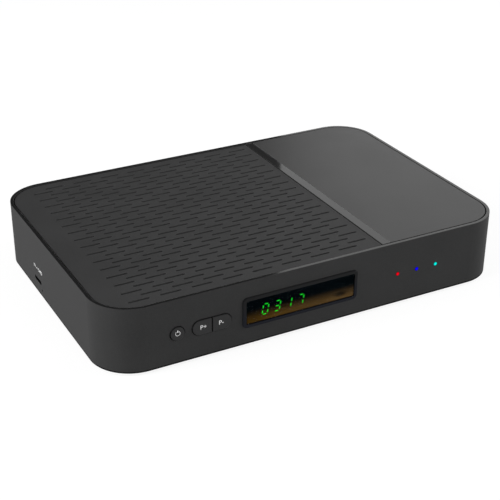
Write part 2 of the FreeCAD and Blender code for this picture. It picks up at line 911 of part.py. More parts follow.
def front_ribbon_socket():
    start = ribbon_ends()[0]
    y = (start[0] - ribbon_socket_thickness, start[0])
    return block(around(ribbon_x, ribbon_socket_width), y, around(start[1], ribbon_socket_depth))


def main_ribbon_socket():
    end = ribbon_ends()[1]
    y = around(end[0], ribbon_socket_depth)
    return block(around(ribbon_x, ribbon_socket_width), y, (board_high, end[1]))


def ribbon_cable():
    """Flat cable: straight back from the front board, then a quarter bend down to the main board."""
    (start_y, start_z), (end_y, end_z) = ribbon_ends()
    x = around(ribbon_x, ribbon_width)
    bend_y = end_y - ribbon_bend
    bend_z = start_z - ribbon_bend
    run = block(x, (start_y, bend_y), around(start_z, ribbon_thickness))
    drop = block(x, around(end_y, ribbon_thickness), (end_z, bend_z))
    axis = Vector(1, 0, 0)
    corner = Vector(x[0], bend_y, bend_z)
    outer = Part.makeCylinder(ribbon_bend + ribbon_thickness / 2, ribbon_width, corner, axis)
    inner = Part.makeCylinder(ribbon_bend - ribbon_thickness / 2, ribbon_width, corner, axis)
    far = 2 * ribbon_bend
    quarter = block(x, (bend_y, bend_y + far), (bend_z, bend_z + far))
    bend = outer.cut(inner).common(quarter)
    return run.fuse([drop, bend]).removeSplitter()


def main_board():
    board = case_plate((board_low, board_high), wall + main_board_gap)
    board = board.common(block((left_x, right_x), (main_board_front_y, main_board_back_y),
                               (board_low, board_high)))
    through = (board_low - overcut, board_high + overcut)
    cuts = case_bosses(main_board_clear, through)
    cuts += [rod_z(screw_radius + screw_pass_gap, spot_x, spot_y, through)
             for spot_x, spot_y in standoff_spots()]
    for lug_x in rear_screw_xs():
        notch_x = widened(around(lug_x, rear_lug_width), main_board_clear)
        notch_y = (back_inner_y - rear_lug_depth - main_board_clear, back_inner_y + overcut)
        cuts.append(block(notch_x, notch_y, through))
    return board.cut(cuts)


def connector_xs():
    """Middles of the two threaded connectors: out, then in."""
    return list(around(connector_row()[0]["tuner"], connector_pitch))


def tuner_axis_z():
    return board_high + tuner_axis_height


def tuner_can():
    back = back_inner_y - tuner_back_gap
    return block(around(connector_row()[0]["tuner"], tuner_width), (back - tuner_depth, back),
                 (board_high, board_high + tuner_height))


def threaded_connector(x):
    z = tuner_axis_z()
    nut_end = rear_face_y + nut_thickness
    tip = back_y + connector_reach
    neck = rod_y(connector_neck_radius, x, (back_inner_y - tuner_back_gap, nut_end), z)
    barrel = rod_y(connector_radius, x, (nut_end, tip), z)
    bore = rod_y(connector_bore_radius, x, (tip - connector_bore_depth, tip + overcut), z)
    return neck.fuse(barrel).cut(bore).removeSplitter()


def connector_insulators():
    tip = back_y + connector_reach
    solids = []
    for x in connector_xs():
        body = rod_y(connector_bore_radius - insulator_gap, x,
                     (tip - connector_bore_depth, tip - insulator_sink), tuner_axis_z())
        hole = rod_y(insulator_hole_radius, x,
                     (tip - insulator_sink - insulator_hole_depth, tip), tuner_axis_z())
        solids.append(body.cut(hole))
    return solids


def hex_nut(x, y, z):
    """Six-sided nut over the pair y."""
    side_angle = 2 * pi / nut_sides
    corner = nut_across_flats / 2 / cos(side_angle / 2)
    points = [Vector(x + corner * cos(side_angle * turn), y[0], z + corner * sin(side_angle * turn))
              for turn in range(nut_sides + 1)]
    face = Part.makeFace([Part.makePolygon(points)], "Part::FaceMakerBullseye")
    body = face.extrude(Vector(0, y[1] - y[0], 0))
    return body.cut(rod_y(connector_neck_radius + nut_gap, x, widened(y, overcut), z))


def connector_nuts():
    y = (rear_face_y, rear_face_y + nut_thickness)
    return [hex_nut(x, y, tuner_axis_z()) for x in connector_xs()]


def socket_block(name, width, height, depth):
    """Housing of a socket that stands on the main board with its mouth at the rear panel."""
    x = around(connector_row()[0][name], width)
    return block(x, (socket_face_y - depth, socket_face_y), (board_high, board_high + height))


def network_mouth():
    """Pairs x, y and z of the space that a network plug goes into."""
    low = board_high + network_mouth_lift
    return (around(connector_row()[0]["network"], network_mouth_width),
            (socket_face_y - network_mouth_depth, socket_face_y + overcut),
            (low, low + network_mouth_height))


def network_socket():
    x, y, z = network_mouth()
    latch = block(around(connector_row()[0]["network"], network_latch_width), y,
                  (z[0] - network_latch_drop, z[1]))
    return socket_block("network", network_width, network_height, network_depth).cut([block(x, y, z), latch])


def network_contacts():
    """Spring contacts that slope down from the roof of the network socket's mouth."""
    top = network_mouth()[2][1]
    start_y = socket_face_y - contact_setback
    end_y = start_y - contact_run
    solids = []
    for number in range(contact_count):
        x = connector_row()[0]["network"] + (number - (contact_count - 1) / 2) * contact_pitch
        low = x - contact_thickness / 2
        profile = [Vector(low, start_y, top), Vector(low, end_y, top - contact_drop),
                   Vector(low, end_y, top - contact_drop + contact_thickness),
                   Vector(low, start_y - contact_thickness * 2, top), Vector(low, start_y, top)]
        face = Part.makeFace([Part.makePolygon(profile)], "Part::FaceMakerBullseye")
        solids.append(face.extrude(Vector(contact_thickness, 0, 0)))
    return solids


def usb_socket():
    middle = connector_row()[0]["usb"]
    z = around(board_high + usb_height / 2, usb_mouth_height)
    mouth = block(around(middle, usb_mouth_width),
                  (socket_face_y - usb_mouth_depth, socket_face_y + overcut), z)
    tongue_top = z[1] - usb_tongue_lift
    tongue = block(around(middle, usb_tongue_width),
                   (socket_face_y - usb_mouth_depth, socket_face_y - usb_tongue_setback),
                   (tongue_top - usb_tongue_thickness, tongue_top))
    return socket_block("usb", usb_width, usb_height, usb_depth).cut(mouth).fuse(tongue).removeSplitter()


def video_socket():
    middle = connector_row()[0]["video"]
    x = around(middle, video_mouth_width)
    z = around(board_high + video_height / 2, video_mouth_height)
    back = socket_face_y - video_mouth_depth
    outline = [(x[0], z[1]), (x[1], z[1]), (x[1], z[0] + video_mouth_cut), (x[1] - video_mouth_cut, z[0]),
               (x[0] + video_mouth_cut, z[0]), (x[0], z[0] + video_mouth_cut), (x[0], z[1])]
    wire = Part.makePolygon([Vector(u, back, v) for u, v in outline])
    mouth = Part.makeFace([wire], "Part::FaceMakerBullseye").extrude(Vector(0, video_depth, 0))
    tongue = block(around(middle, video_tongue_width), (back, socket_face_y - video_tongue_setback),
                   around(board_high + video_height / 2, video_tongue_thickness))
    body = socket_block("video", video_width, video_height, video_depth)
    return body.cut(mouth).fuse(tongue).removeSplitter()


def optical_mouth_pairs():
    return (around(connector_row()[0]["optical"], optical_mouth),
            (socket_face_y - optical_mouth_depth, socket_face_y + overcut),
            around(board_high + optical_height / 2, optical_mouth))


def shutter_axis():
    """Height and depth of the shutter's pin, near the roof of the optical socket's mouth."""
    roof = optical_mouth_pairs()[2][1]
    return (socket_face_y - shutter_sink - shutter_pin_radius, roof - shutter_gap - shutter_pin_radius)


def shutter_pin(extra):
    """Pin of the shutter, made longer and thicker by extra."""
    x = widened(optical_mouth_pairs()[0], shutter_pin_reach + extra)
    return rod_x(shutter_pin_radius + extra, x, *shutter_axis())


def optical_socket():
    body = socket_block("optical", optical_width, optical_height, optical_depth)
    return body.cut([block(*optical_mouth_pairs()), shutter_pin(shutter_pin_gap)])


def optical_shutter():
    x, _, z = optical_mouth_pairs()
    axis_y, axis_z = shutter_axis()
    flap = block(widened(x, -shutter_gap), around(axis_y, shutter_thickness), (z[0] + shutter_gap, axis_z))
    return flap.fuse(shutter_pin(0)).removeSplitter()


def av_socket():
    middle = connector_row()[0]["av"]
    z = board_high + av_height / 2
    body_back = back_inner_y - main_board_back_gap
    body = block(around(middle, av_width), (body_back - av_depth, body_back),
                 (board_high, board_high + av_height))
    nose = rod_y(av_nose_radius, middle, (body_back - av_depth / 2, socket_face_y), z)
    bore = rod_y(av_bore_radius, middle, (socket_face_y - av_bore_depth, socket_face_y + overcut), z)
    return body.fuse(nose).cut(bore).removeSplitter()


def power_inlet():
    z = board_high + inlet_axis_height
    bore = rod_y(inlet_bore_radius, connector_row()[0]["power"],
                 (socket_face_y - inlet_bore_depth, socket_face_y + overcut), z)
    return socket_block("power", inlet_width, inlet_height, inlet_depth).cut(bore)


def power_inlet_pin():
    return rod_y(inlet_pin_radius, connector_row()[0]["power"],
                 (socket_face_y - inlet_bore_depth, socket_face_y - inlet_pin_sink),
                 board_high + inlet_axis_height)


def card_socket():
    x0 = left_inner_x + card_wall_gap
    y = case_mid_y + card_y
    body = block((x0, x0 + card_socket_depth), around(y, card_socket_width),
                 (board_high, board_high + card_socket_height))
    mouth = block((x0 - overcut, x0 + card_mouth_depth), around(y, card_mouth_width),
                  around(card_z(), card_mouth_height))
    return body.cut(mouth)


def reset_switch():
    x0 = left_inner_x + reset_wall_gap
    y = case_mid_y + reset_y
    body = block((x0, x0 + reset_depth), around(y, reset_width), (board_low - reset_height, board_low))
    bore_x = (x0 - overcut, x0 + reset_bore_depth)
    return body.cut(rod_x(reset_plunger_radius + plunger_gap, bore_x, y, reset_z()))


def reset_plunger():
    x0 = left_inner_x + reset_wall_gap
    x = (x0 - reset_plunger_reach, x0 + reset_bore_depth - reset_travel - plunger_gap)
    return rod_x(reset_plunger_radius, x, case_mid_y + reset_y, reset_z())


def main_processor():
    y = case_mid_y + processor_y
    return block(around(processor_x, processor_size), around(y, processor_size),
                 (board_high, board_high + processor_thickness))


def heat_sink():
    y = case_mid_y + processor_y
    low = board_high + processor_thickness
    base = block(around(processor_x, sink_size), around(y, sink_size), (low, low + sink_base))
    pitch = (sink_size - sink_fin_thickness) / (sink_fin_count - 1)
    fins = []
    for number in range(sink_fin_count):
        x = processor_x + (number - (sink_fin_count - 1) / 2) * pitch
        fins.append(block(around(x, sink_fin_thickness), around(y, sink_size), (low, low + sink_height)))
    return base.fuse(fins).removeSplitter()


def memory_chips():
    y = case_mid_y + processor_y
    return [block(around(processor_x - memory_distance, memory_width),
                  around(y + (number - (memory_count - 1) / 2) * memory_pitch, memory_length),
                  (board_high, board_high + memory_thickness)) for number in range(memory_count)]


def capacitors():
    solids = []
    for number in range(capacitor_count):
        can = rod_z(capacitor_radius, capacitor_x + number * capacitor_pitch, case_mid_y + capacitor_y,
                    (board_high, board_high + capacitor_height))
        solids.append(can.makeFillet(capacitor_edge_radius,
                                     edges_on_plane(can, 2, board_high + capacitor_height)))
    return solids


def inductors():
    return [plate_z(around(capacitor_x + number * inductor_pitch, inductor_size),
                    around(case_mid_y + inductor_y, inductor_size),
                    (board_high, board_high + inductor_height), [inductor_corner] * 4)
            for number in range(inductor_count)]


def all_parts():
    """Node name to its solid, or to the list of solids of a group."""
    parts = {
        "upper_shell": upper_shell(), "vent_panel": vent_panel(), "divider_strip": divider_strip(),
        "smooth_panel": smooth_panel(), "bottom_cover": bottom_cover(), "rear_panel": rear_panel(),
        "case_screws": case_screws(), "rear_panel_screws": rear_panel_screws(),
        "power_button": power_button(), "program_up_button": program_half(-1),
        "program_down_button": program_half(1),
        "display_bezel": display_bezel(), "display_window": display_window(),
        "display_module": display_module(), "infrared_receiver": infrared_receiver(),
        "front_board": front_board(), "front_board_screws": front_board_screws(),
        "front_ribbon_socket": front_ribbon_socket(), "ribbon_cable": ribbon_cable(),
        "main_ribbon_socket": main_ribbon_socket(),
        "main_board": main_board(), "main_board_screws": main_board_screws(),
        "tuner_can": tuner_can(), "connector_insulators": connector_insulators(),
        "connector_nuts": connector_nuts(),
        "network_socket": network_socket(), "network_contacts": network_contacts(),
        "usb_socket": usb_socket(), "video_socket": video_socket(),
        "optical_socket": optical_socket(), "optical_shutter": optical_shutter(),
        "av_socket": av_socket(), "power_inlet": power_inlet(), "power_inlet_pin": power_inlet_pin(),
        "card_socket": card_socket(), "reset_switch": reset_switch(), "reset_plunger": reset_plunger(),
        "main_processor": main_processor(), "heat_sink": heat_sink(), "memory_chips": memory_chips(),
        "capacitors": capacitors(), "inductors": inductors(),
    }
    for name, (x, y) in foot_spots().items():
        parts[name] = foot(x, y)
    for name, x in zip(("lnb_out_connector", "lnb_in_connector"), connector_xs()):
        parts[name] = threaded_connector(x)
    for name, x in zip(("power", "program_up", "program_down"), switch_xs()):
        parts[f"{name}_switch"] = push_switch(x)
        parts[f"{name}_plunger"] = switch_plunger(x)
    for colour, x in zip(light_colours, light_xs()):
        parts[f"{colour}_light_pipe"] = light_pipe(x)
        parts[f"{colour}_led"] = led(x)
    return parts


os.makedirs("parts", exist_ok=True)
for node, shape in all_parts().items():
    solid = Part.makeCompound(shape) if isinstance(shape, list) else shape
    solid.exportStep(f"parts/{node}.step")
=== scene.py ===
import json
from math import cos, pi, radians, sin, sqrt, tan

import bmesh
import bpy
from mathutils import Euler, Matrix, Vector


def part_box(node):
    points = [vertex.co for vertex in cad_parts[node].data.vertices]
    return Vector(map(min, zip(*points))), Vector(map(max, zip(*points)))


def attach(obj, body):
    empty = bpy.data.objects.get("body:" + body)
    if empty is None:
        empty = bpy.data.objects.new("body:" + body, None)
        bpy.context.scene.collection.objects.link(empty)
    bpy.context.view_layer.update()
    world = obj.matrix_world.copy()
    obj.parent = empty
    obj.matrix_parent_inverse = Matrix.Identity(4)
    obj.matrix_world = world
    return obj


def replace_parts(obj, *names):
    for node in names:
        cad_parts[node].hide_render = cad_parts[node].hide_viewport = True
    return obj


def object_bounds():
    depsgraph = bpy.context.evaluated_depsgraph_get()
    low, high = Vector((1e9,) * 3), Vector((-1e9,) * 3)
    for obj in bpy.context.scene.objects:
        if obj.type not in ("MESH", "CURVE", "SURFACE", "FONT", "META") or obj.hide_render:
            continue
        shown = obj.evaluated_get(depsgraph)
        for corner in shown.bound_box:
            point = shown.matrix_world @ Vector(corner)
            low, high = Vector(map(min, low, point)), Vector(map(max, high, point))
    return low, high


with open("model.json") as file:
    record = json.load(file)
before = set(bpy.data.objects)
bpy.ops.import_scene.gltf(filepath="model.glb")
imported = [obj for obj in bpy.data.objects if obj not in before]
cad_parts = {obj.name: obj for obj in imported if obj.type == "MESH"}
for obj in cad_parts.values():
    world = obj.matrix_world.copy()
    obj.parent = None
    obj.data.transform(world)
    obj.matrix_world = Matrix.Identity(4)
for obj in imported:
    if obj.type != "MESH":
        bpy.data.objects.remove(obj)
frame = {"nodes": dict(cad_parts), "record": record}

# Satellite television receiver. Its sizes are in millimetres, and multiplied by MM where they are used.
# The stage, the lamps and the camera are in metres.
MM = 0.001
NODES = frame["nodes"]

for leftover in ("Cube", "Light", "Camera"):
    if leftover in bpy.data.objects:
        bpy.data.objects.remove(bpy.data.objects[leftover])

cad_low, cad_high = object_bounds()

# Local X, Y and Z of something flat that is fixed to each face of the case, as matrix columns
FRONT = Matrix(((1, 0, 0), (0, 0, -1), (0, 1, 0)))
REAR = Matrix(((-1, 0, 0), (0, 0, 1), (0, 1, 0)))
LEFT = Matrix(((0, 0, -1), (-1, 0, 0), (0, 1, 0)))
UNDER = Matrix(((1, 0, 0), (0, -1, 0), (0, 0, -1)))
UPWARDS = Matrix.Identity(3)

# Print reaches from a little inside its face to a little above it
PRINT = (-0.02, 0.03)


def edges(node):
    """Lowest and highest corner of a CAD node, in millimetres."""
    low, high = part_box(node)
    return low / MM, high / MM


def centre(node):
    low, high = edges(node)
    return (low + high) / 2


def mount_z(mount_name):
    """Height of a mount of the CAD part, in millimetres."""
    return next(mount["pos_m"][2] for mount in frame["record"]["mounts"] if mount["name"] == mount_name) / MM


# ---------------------------------------------------------------- materials

MOTTLE = 0.1


class Look:
    """A procedural material, or the light of a world, while it is put together."""

    def __init__(self, name, for_world=False):
        self.owner = (bpy.data.worlds if for_world else bpy.data.materials).new(name)
        self.owner.use_nodes = True
        self.tree = self.owner.node_tree
        self.tree.nodes.clear()
        self.output = self.add("ShaderNodeOutputWorld" if for_world else "ShaderNodeOutputMaterial")
        self.place = self.add("ShaderNodeTexCoord").outputs["Object"]

    def add(self, kind, **settings):
        node = self.tree.nodes.new(kind)
        for name, value in settings.items():
            setattr(node, name, value)
        return node

    def feed(self, node, socket, value):
        target = node.inputs[socket]
        if isinstance(value, bpy.types.NodeSocket):
            self.tree.links.new(value, target)
        else:
            target.default_value = value

    def stretched(self, scale, vector=None):
        node = self.add("ShaderNodeMapping")
        self.feed(node, "Vector", vector or self.place)
        self.feed(node, "Scale", scale)
        return node.outputs["Vector"]

    def noise(self, scale, detail=3.0, vector=None):
        node = self.add("ShaderNodeTexNoise")
        self.feed(node, "Vector", vector or self.place)
        self.feed(node, "Scale", scale)
        self.feed(node, "Detail", detail)
        self.feed(node, "Roughness", 0.55)
        return node.outputs["Fac"]

    def cells(self, scale, vector=None, feature="F1"):
        """Distance from the middle, or from the edge, of the nearest of many cells."""
        node = self.add("ShaderNodeTexVoronoi", feature=feature)
        self.feed(node, "Vector", vector or self.place)
        self.feed(node, "Scale", scale)
        return node.outputs["Distance"]

    def math(self, operation, first, second=0.0):
        node = self.add("ShaderNodeMath", operation=operation)
        self.feed(node, 0, first)
        self.feed(node, 1, second)
        return node.outputs[0]

    def spread(self, value, low, high, to_low=0.0, to_high=1.0):
        """Value from its stretch low to high onto another stretch, held at the ends."""
        node = self.add("ShaderNodeMapRange", interpolation_type="SMOOTHSTEP")
        sockets = {"Value": value, "From Min": low, "From Max": high, "To Min": to_low, "To Max": to_high}
        for socket, number in sockets.items():
            self.feed(node, socket, number)
        return node.outputs["Result"]

    def tone(self, fine, broad, share):
        """A fine and a broad pattern in one, with this share of the fine one."""
        both = self.math("ADD", self.math("MULTIPLY", fine, share), self.math("MULTIPLY", broad, 1 - share))
        return self.spread(both, 0.35, 0.65)

    def away(self, spot, scale=(1, 1, 1), vector=None):
        """Distance from a spot, in coordinates that are stretched by scale."""
        node = self.add("ShaderNodeVectorMath", operation="DISTANCE")
        self.feed(node, 0, self.stretched(scale, vector))
        self.feed(node, 1, spot)
        return node.outputs["Value"]

    def axis(self, name, vector=None):
        node = self.add("ShaderNodeSeparateXYZ")
        self.feed(node, 0, vector or self.place)
        return node.outputs[name]

    def facing(self, name):
        node = self.add("ShaderNodeNewGeometry")
        return self.axis(name, node.outputs["Normal"])

    def blend(self, factor, first, second):
        node = self.add("ShaderNodeMix", data_type="RGBA")
        self.feed(node, "Factor", factor)
        self.feed(node, 6, first if isinstance(first, bpy.types.NodeSocket) else (*first, 1))
        self.feed(node, 7, second if isinstance(second, bpy.types.NodeSocket) else (*second, 1))
        return node.outputs[2]

    def mottled(self, pattern, colour, amount=MOTTLE):
        """A colour that a pattern makes darker and paler by this share of itself."""
        return self.blend(pattern, shade(colour, 1 - amount), shade(colour, 1 + amount))

    def patched(self, pattern, first, second):
        """Two colours in patches that follow a noise pattern."""
        return self.blend(self.spread(pattern, 0.3, 0.7), first, second)

    def soft_edges(self, radius):
        node = self.add("ShaderNodeBevel", samples=6)
        self.feed(node, "Radius", radius * MM)
        return node.outputs["Normal"]

    def bumped(self, height, depth, normal=None):
        """Normal of a surface with this relief, depth in millimetres."""
        node = self.add("ShaderNodeBump")
        self.feed(node, "Height", height)
        self.feed(node, "Distance", depth * MM)
        if normal is not None:
            self.feed(node, "Normal", normal)
        return node.outputs["Normal"]

    def surface(self, **values):
        """Principled surface; the keywords are its socket names with underscores."""
        node = self.add("ShaderNodeBsdfPrincipled")
        for name, value in values.items():
            if isinstance(value, tuple) and len(value) == 3:
                value = (*value, 1)
            self.feed(node, name.replace("_", " "), value)
        return node.outputs[0]

    def joined(self, factor, first, second):
        node = self.add("ShaderNodeMixShader")
        self.feed(node, 0, factor)
        self.feed(node, 1, first)
        self.feed(node, 2, second)
        return node.outputs[0]

    def done(self, shader):
        self.feed(self.output, "Surface", shader)
        return self.owner


def shade(colour, factor):
    return tuple(channel * factor for channel in colour)


def moulded(name, colour, roughness, specular, grain=0.35, depth=0.012, edge=0.25):
    """Moulded plastic with a spark-eroded grain, faint mottling and softened edges."""
    look = Look(name)
    fine = look.noise(1 / (grain * MM), detail=2.0)
    tone = look.tone(fine, look.noise(38.0, detail=4.0), 0.55)
    gloss = look.spread(tone, 0.0, 1.0, roughness * 0.92, roughness * 1.08)
    normal = look.bumped(fine, depth, look.soft_edges(edge))
    return look.done(look.surface(Base_Color=look.mottled(tone, colour), Roughness=gloss,
                                  Specular_IOR_Level=specular, Normal=normal))


CASE_GREY = (0.0345, 0.0345, 0.0347)
CASE_GRAIN = 0.32
# Painted shade along the walls' foot: darkened by a factor up to this height, fading back over a further
# height
WALL_FOOT = 1.65
FOOT_SHADE_FADE = 1.1
FOOT_SHADE_DARK = 0.1
# Painted shade: the polished rim's colour is the wall colour darkened by this share
RIM_PAINTED_SHADE = 0.45
RIM_STARTS = 0.15
RIM_FULL = 0.05


def case_plastic():
    """Matt walls with painted shade along their foot, and a polished flat rim painted darker as shade."""
    look = Look("case_plastic_grained")
    fine = look.noise(1 / (CASE_GRAIN * MM), detail=2.0)
    broad = look.noise(30.0, detail=4.0)
    tone = look.tone(fine, broad, 0.6)
    # Painted shade at the foot of the walls
    foot_shade = look.spread(look.axis("Z"), WALL_FOOT * MM, (WALL_FOOT + FOOT_SHADE_FADE) * MM)
    paint = look.blend(foot_shade, shade(CASE_GREY, FOOT_SHADE_DARK), look.mottled(tone, CASE_GREY))
    wall = look.surface(Base_Color=paint, Roughness=look.spread(tone, 0, 1, 0.56, 0.64),
                        Specular_IOR_Level=0.032, Normal=look.bumped(fine, 0.010, look.soft_edges(0.3)))
    # Rim colour darkened as painted shade
    rim = look.surface(Base_Color=look.mottled(broad, shade(CASE_GREY, RIM_PAINTED_SHADE)),
                       Roughness=look.spread(broad, 0.3, 0.7, 0.05, 0.08),
                       Specular_IOR_Level=0.58, Normal=look.bumped(broad, 0.002, look.soft_edges(0.15)))
    high = look.spread(look.axis("Z"), cad_high.z - RIM_STARTS * MM, cad_high.z - RIM_FULL * MM)
    flat = look.spread(look.facing("Z"), 0.75, 0.95)
    return look.done(look.joined(look.math("MULTIPLY", high, flat), wall, rim))


VENT_GREY = (0.0377, 0.0377, 0.0380)
VENT_GRAIN = 0.4
# Painted highlight along the panel's edge by the divider: where it starts, where it is full, and how much
# paler it is
BORDER_HIGHLIGHT_STARTS = 0.9
BORDER_HIGHLIGHT_FULL = 0.3
BORDER_HIGHLIGHT = 1.9
# Painted light: how much paler the upright cut walls of the slots are painted
CUT_PAINTED_LIGHT = 1.35


def vent_plastic():
    """Grained slotted panel with painted light on its upright cut walls and a painted highlight along its
    border by the divider.
    """
    look = Look("vent_panel_grained")
    divider_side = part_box("vent_panel")[1].x
    fine = look.noise(1 / (VENT_GRAIN * MM), detail=2.0)
    tone = look.tone(fine, look.noise(38.0, detail=4.0), 0.55)
    # Painted highlight along the edge by the divider
    border_highlight = look.spread(look.axis("X"), divider_side - BORDER_HIGHLIGHT_STARTS * MM, divider_side - BORDER_HIGHLIGHT_FULL * MM)
    paint = look.blend(border_highlight, look.mottled(tone, VENT_GREY), shade(VENT_GREY, BORDER_HIGHLIGHT))
    # Painted light on the upright cut walls of the slots
    upright = look.spread(look.math("ABSOLUTE", look.facing("Z")), 0.2, 0.6, 1.0, 0.0)
    paint = look.blend(upright, paint, shade(VENT_GREY, CUT_PAINTED_LIGHT))
    return look.done(look.surface(Base_Color=paint, Roughness=look.spread(tone, 0, 1, 0.48, 0.56),
                                  Specular_IOR_Level=0.14,
                                  Normal=look.bumped(fine, 0.014, look.soft_edges(0.35))))


def metal(name, colour, roughness, streak=(1, 1, 1), scale=900.0):
    """Bare metal with fine streaks and faintly duller patches."""
    look = Look(name)
    lines = look.noise(scale, detail=4.0, vector=look.stretched(streak))
    paint = look.patched(look.noise(160.0), shade(colour, 0.82), colour)
    gloss = look.spread(lines, 0.3, 0.7, roughness * 0.8, roughness * 1.3)
    normal = look.bumped(lines, 0.004, look.soft_edges(0.12))
    return look.done(look.surface(Base_Color=paint, Metallic=1.0, Roughness=gloss, Normal=normal))


FOOT_RING_RATE = 75.0


def rubber():
    """Foot with moulded rings on its underside."""
    look = Look("foot_rubber_ringed")
    generated = look.add("ShaderNodeTexCoord").outputs["Generated"]
    radius = look.away((0.5, 0.5, 0.0), (1, 1, 0), generated)
    rings = look.math("SINE", look.math("MULTIPLY", radius, FOOT_RING_RATE))
    under = look.spread(look.facing("Z"), -0.9, -0.98)
    relief = look.math("MULTIPLY", look.spread(rings, -0.3, 0.3), under)
    grain = look.noise(2600.0)
    paint = look.patched(grain, (0.013, 0.013, 0.014), (0.029, 0.029, 0.030))
    normal = look.bumped(relief, 0.25, look.bumped(grain, 0.02, look.soft_edges(0.2)))
    return look.done(look.surface(Base_Color=paint, Roughness=0.82, Specular_IOR_Level=0.25, Normal=normal))


def board():
    """Green laminate with copper tracks under the lacquer, and through-plated dots."""
    look = Look("board_laminate_tracked")
    grid = look.stretched((1, 1, 0.2))
    tracks = look.spread(look.cells(420.0, vector=grid, feature="DISTANCE_TO_EDGE"), 0.05, 0.08, 1.0, 0.0)
    pads = look.spread(look.cells(330.0, vector=grid), 0.10, 0.14, 1.0, 0.0)
    paint = look.patched(look.noise(180.0), (0.010, 0.060, 0.022), (0.016, 0.085, 0.030))
    paint = look.blend(tracks, paint, (0.030, 0.150, 0.050))
    paint = look.blend(pads, paint, (0.45, 0.43, 0.38))
    normal = look.bumped(look.math("ADD", tracks, pads), 0.03, look.soft_edges(0.1))
    return look.done(look.surface(Base_Color=paint, Roughness=0.32, Metallic=look.math("MULTIPLY", pads, 0.8),
                                  Normal=normal))


RIBBON_WIRES = 16


def ribbon():
    """Grey flat cable: one ridge for each wire, with the first wire marked."""
    look = Look("ribbon_wires")
    low, high = edges("ribbon_cable")
    wire_rate = 2 * pi * RIBBON_WIRES / ((high.x - low.x) * MM)
    across = look.axis("X")
    from_first = look.math("SUBTRACT", across, low.x * MM)
    ridge = look.math("COSINE", look.math("MULTIPLY", from_first, wire_rate))
    first = look.spread(look.spread(across, low.x * MM, high.x * MM), 0.02, 0.03, 1.0, 0.0)
    paint = look.blend(look.spread(ridge, -0.9, -0.4), (0.20, 0.20, 0.21), (0.42, 0.42, 0.43))
    paint = look.blend(first, paint, (0.45, 0.03, 0.02))
    return look.done(look.surface(Base_Color=paint, Roughness=0.45, Normal=look.bumped(ridge, 0.12)))


def capacitor_sleeve():
    """Dark sleeve with a pale stripe down one side, and a bright can top."""
    look = Look("capacitor_sleeve_striped")
    stripe = look.spread(look.facing("Y"), -0.80, -0.88)
    top = look.spread(look.facing("Z"), 0.8, 0.9)
    grain = look.noise(900.0)
    paint = look.patched(grain, (0.010, 0.013, 0.035), (0.016, 0.020, 0.050))
    paint = look.blend(stripe, paint, (0.45, 0.46, 0.47))
    paint = look.blend(top, paint, (0.62, 0.63, 0.64))
    normal = look.bumped(grain, 0.01, look.soft_edges(0.2))
    return look.done(look.surface(Base_Color=paint, Roughness=look.spread(top, 0, 1, 0.30, 0.38),
                                  Metallic=top, Normal=normal))


BEZEL_SHADE_FADE = 1.5


def bezel_gloss():
    """Gloss frame round the display with painted shade: darker and faintly blue below, lighter and neutral
    towards its upper edge.
    """
    look = Look("bezel_gloss")
    low, high = edges("display_bezel")
    grain = look.noise(1100.0, detail=2.0)
    # Painted shade: the lower part is painted darker and bluer than the upper part
    up = look.spread(look.axis("Z"), (low.z + BEZEL_SHADE_FADE) * MM, (high.z - BEZEL_SHADE_FADE) * MM)
    paint = look.blend(up, (0.0085, 0.0094, 0.0138), (0.0100, 0.0102, 0.0108))
    gloss = look.spread(grain, 0.3, 0.7, 0.20, 0.26)
    return look.done(look.surface(Base_Color=paint, Roughness=gloss, Specular_IOR_Level=0.06,
                                  Normal=look.bumped(grain, 0.002, look.soft_edges(0.3))))


PANE_IOR = 1.06


def smoked_glass():
    """Faintly tinted pane: the display shows through it and it mirrors only a little."""
    look = Look("smoked_pane")
    wipe = look.noise(220.0, detail=5.0, vector=look.stretched((1, 1, 3)))
    clear = look.add("ShaderNodeBsdfTransparent")
    tint = look.blend(look.spread(wipe, 0.2, 0.8), (0.80, 0.84, 0.88), (0.86, 0.89, 0.92))
    look.feed(clear, "Color", tint)
    mirror = look.add("ShaderNodeBsdfGlossy")
    look.feed(mirror, "Color", (0.85, 0.92, 1.0, 1))
    look.feed(mirror, "Roughness", look.spread(wipe, 0.3, 0.7, 0.06, 0.12))
    edge = look.add("ShaderNodeFresnel")
    look.feed(edge, "IOR", PANE_IOR)
    return look.done(look.joined(edge.outputs[0], clear.outputs[0], mirror.outputs[0]))


WINDOW_X = -10.8
WINDOW_Z = 18.4
BEZEL_OPENING = (59.2, 12.6)
# Height, softness and waviness of the painted shade that makes the film black above the amber foil
FILM_SHADE_EDGE = 15.5
FILM_SHADE_SOFT = 4.1
FILM_SHADE_WAVES = 0.6
FILM_LEFT_FADE = 15.0
FILM_MARGIN = 1.3
FILM_FOOT = (-0.2, 0.7)
SMUDGE_OFFSET = 1.6
SMUDGE_Z = 15.2
SMUDGE_STRETCH = 0.4
SMUDGE_RADII = (0.36, 2.16)


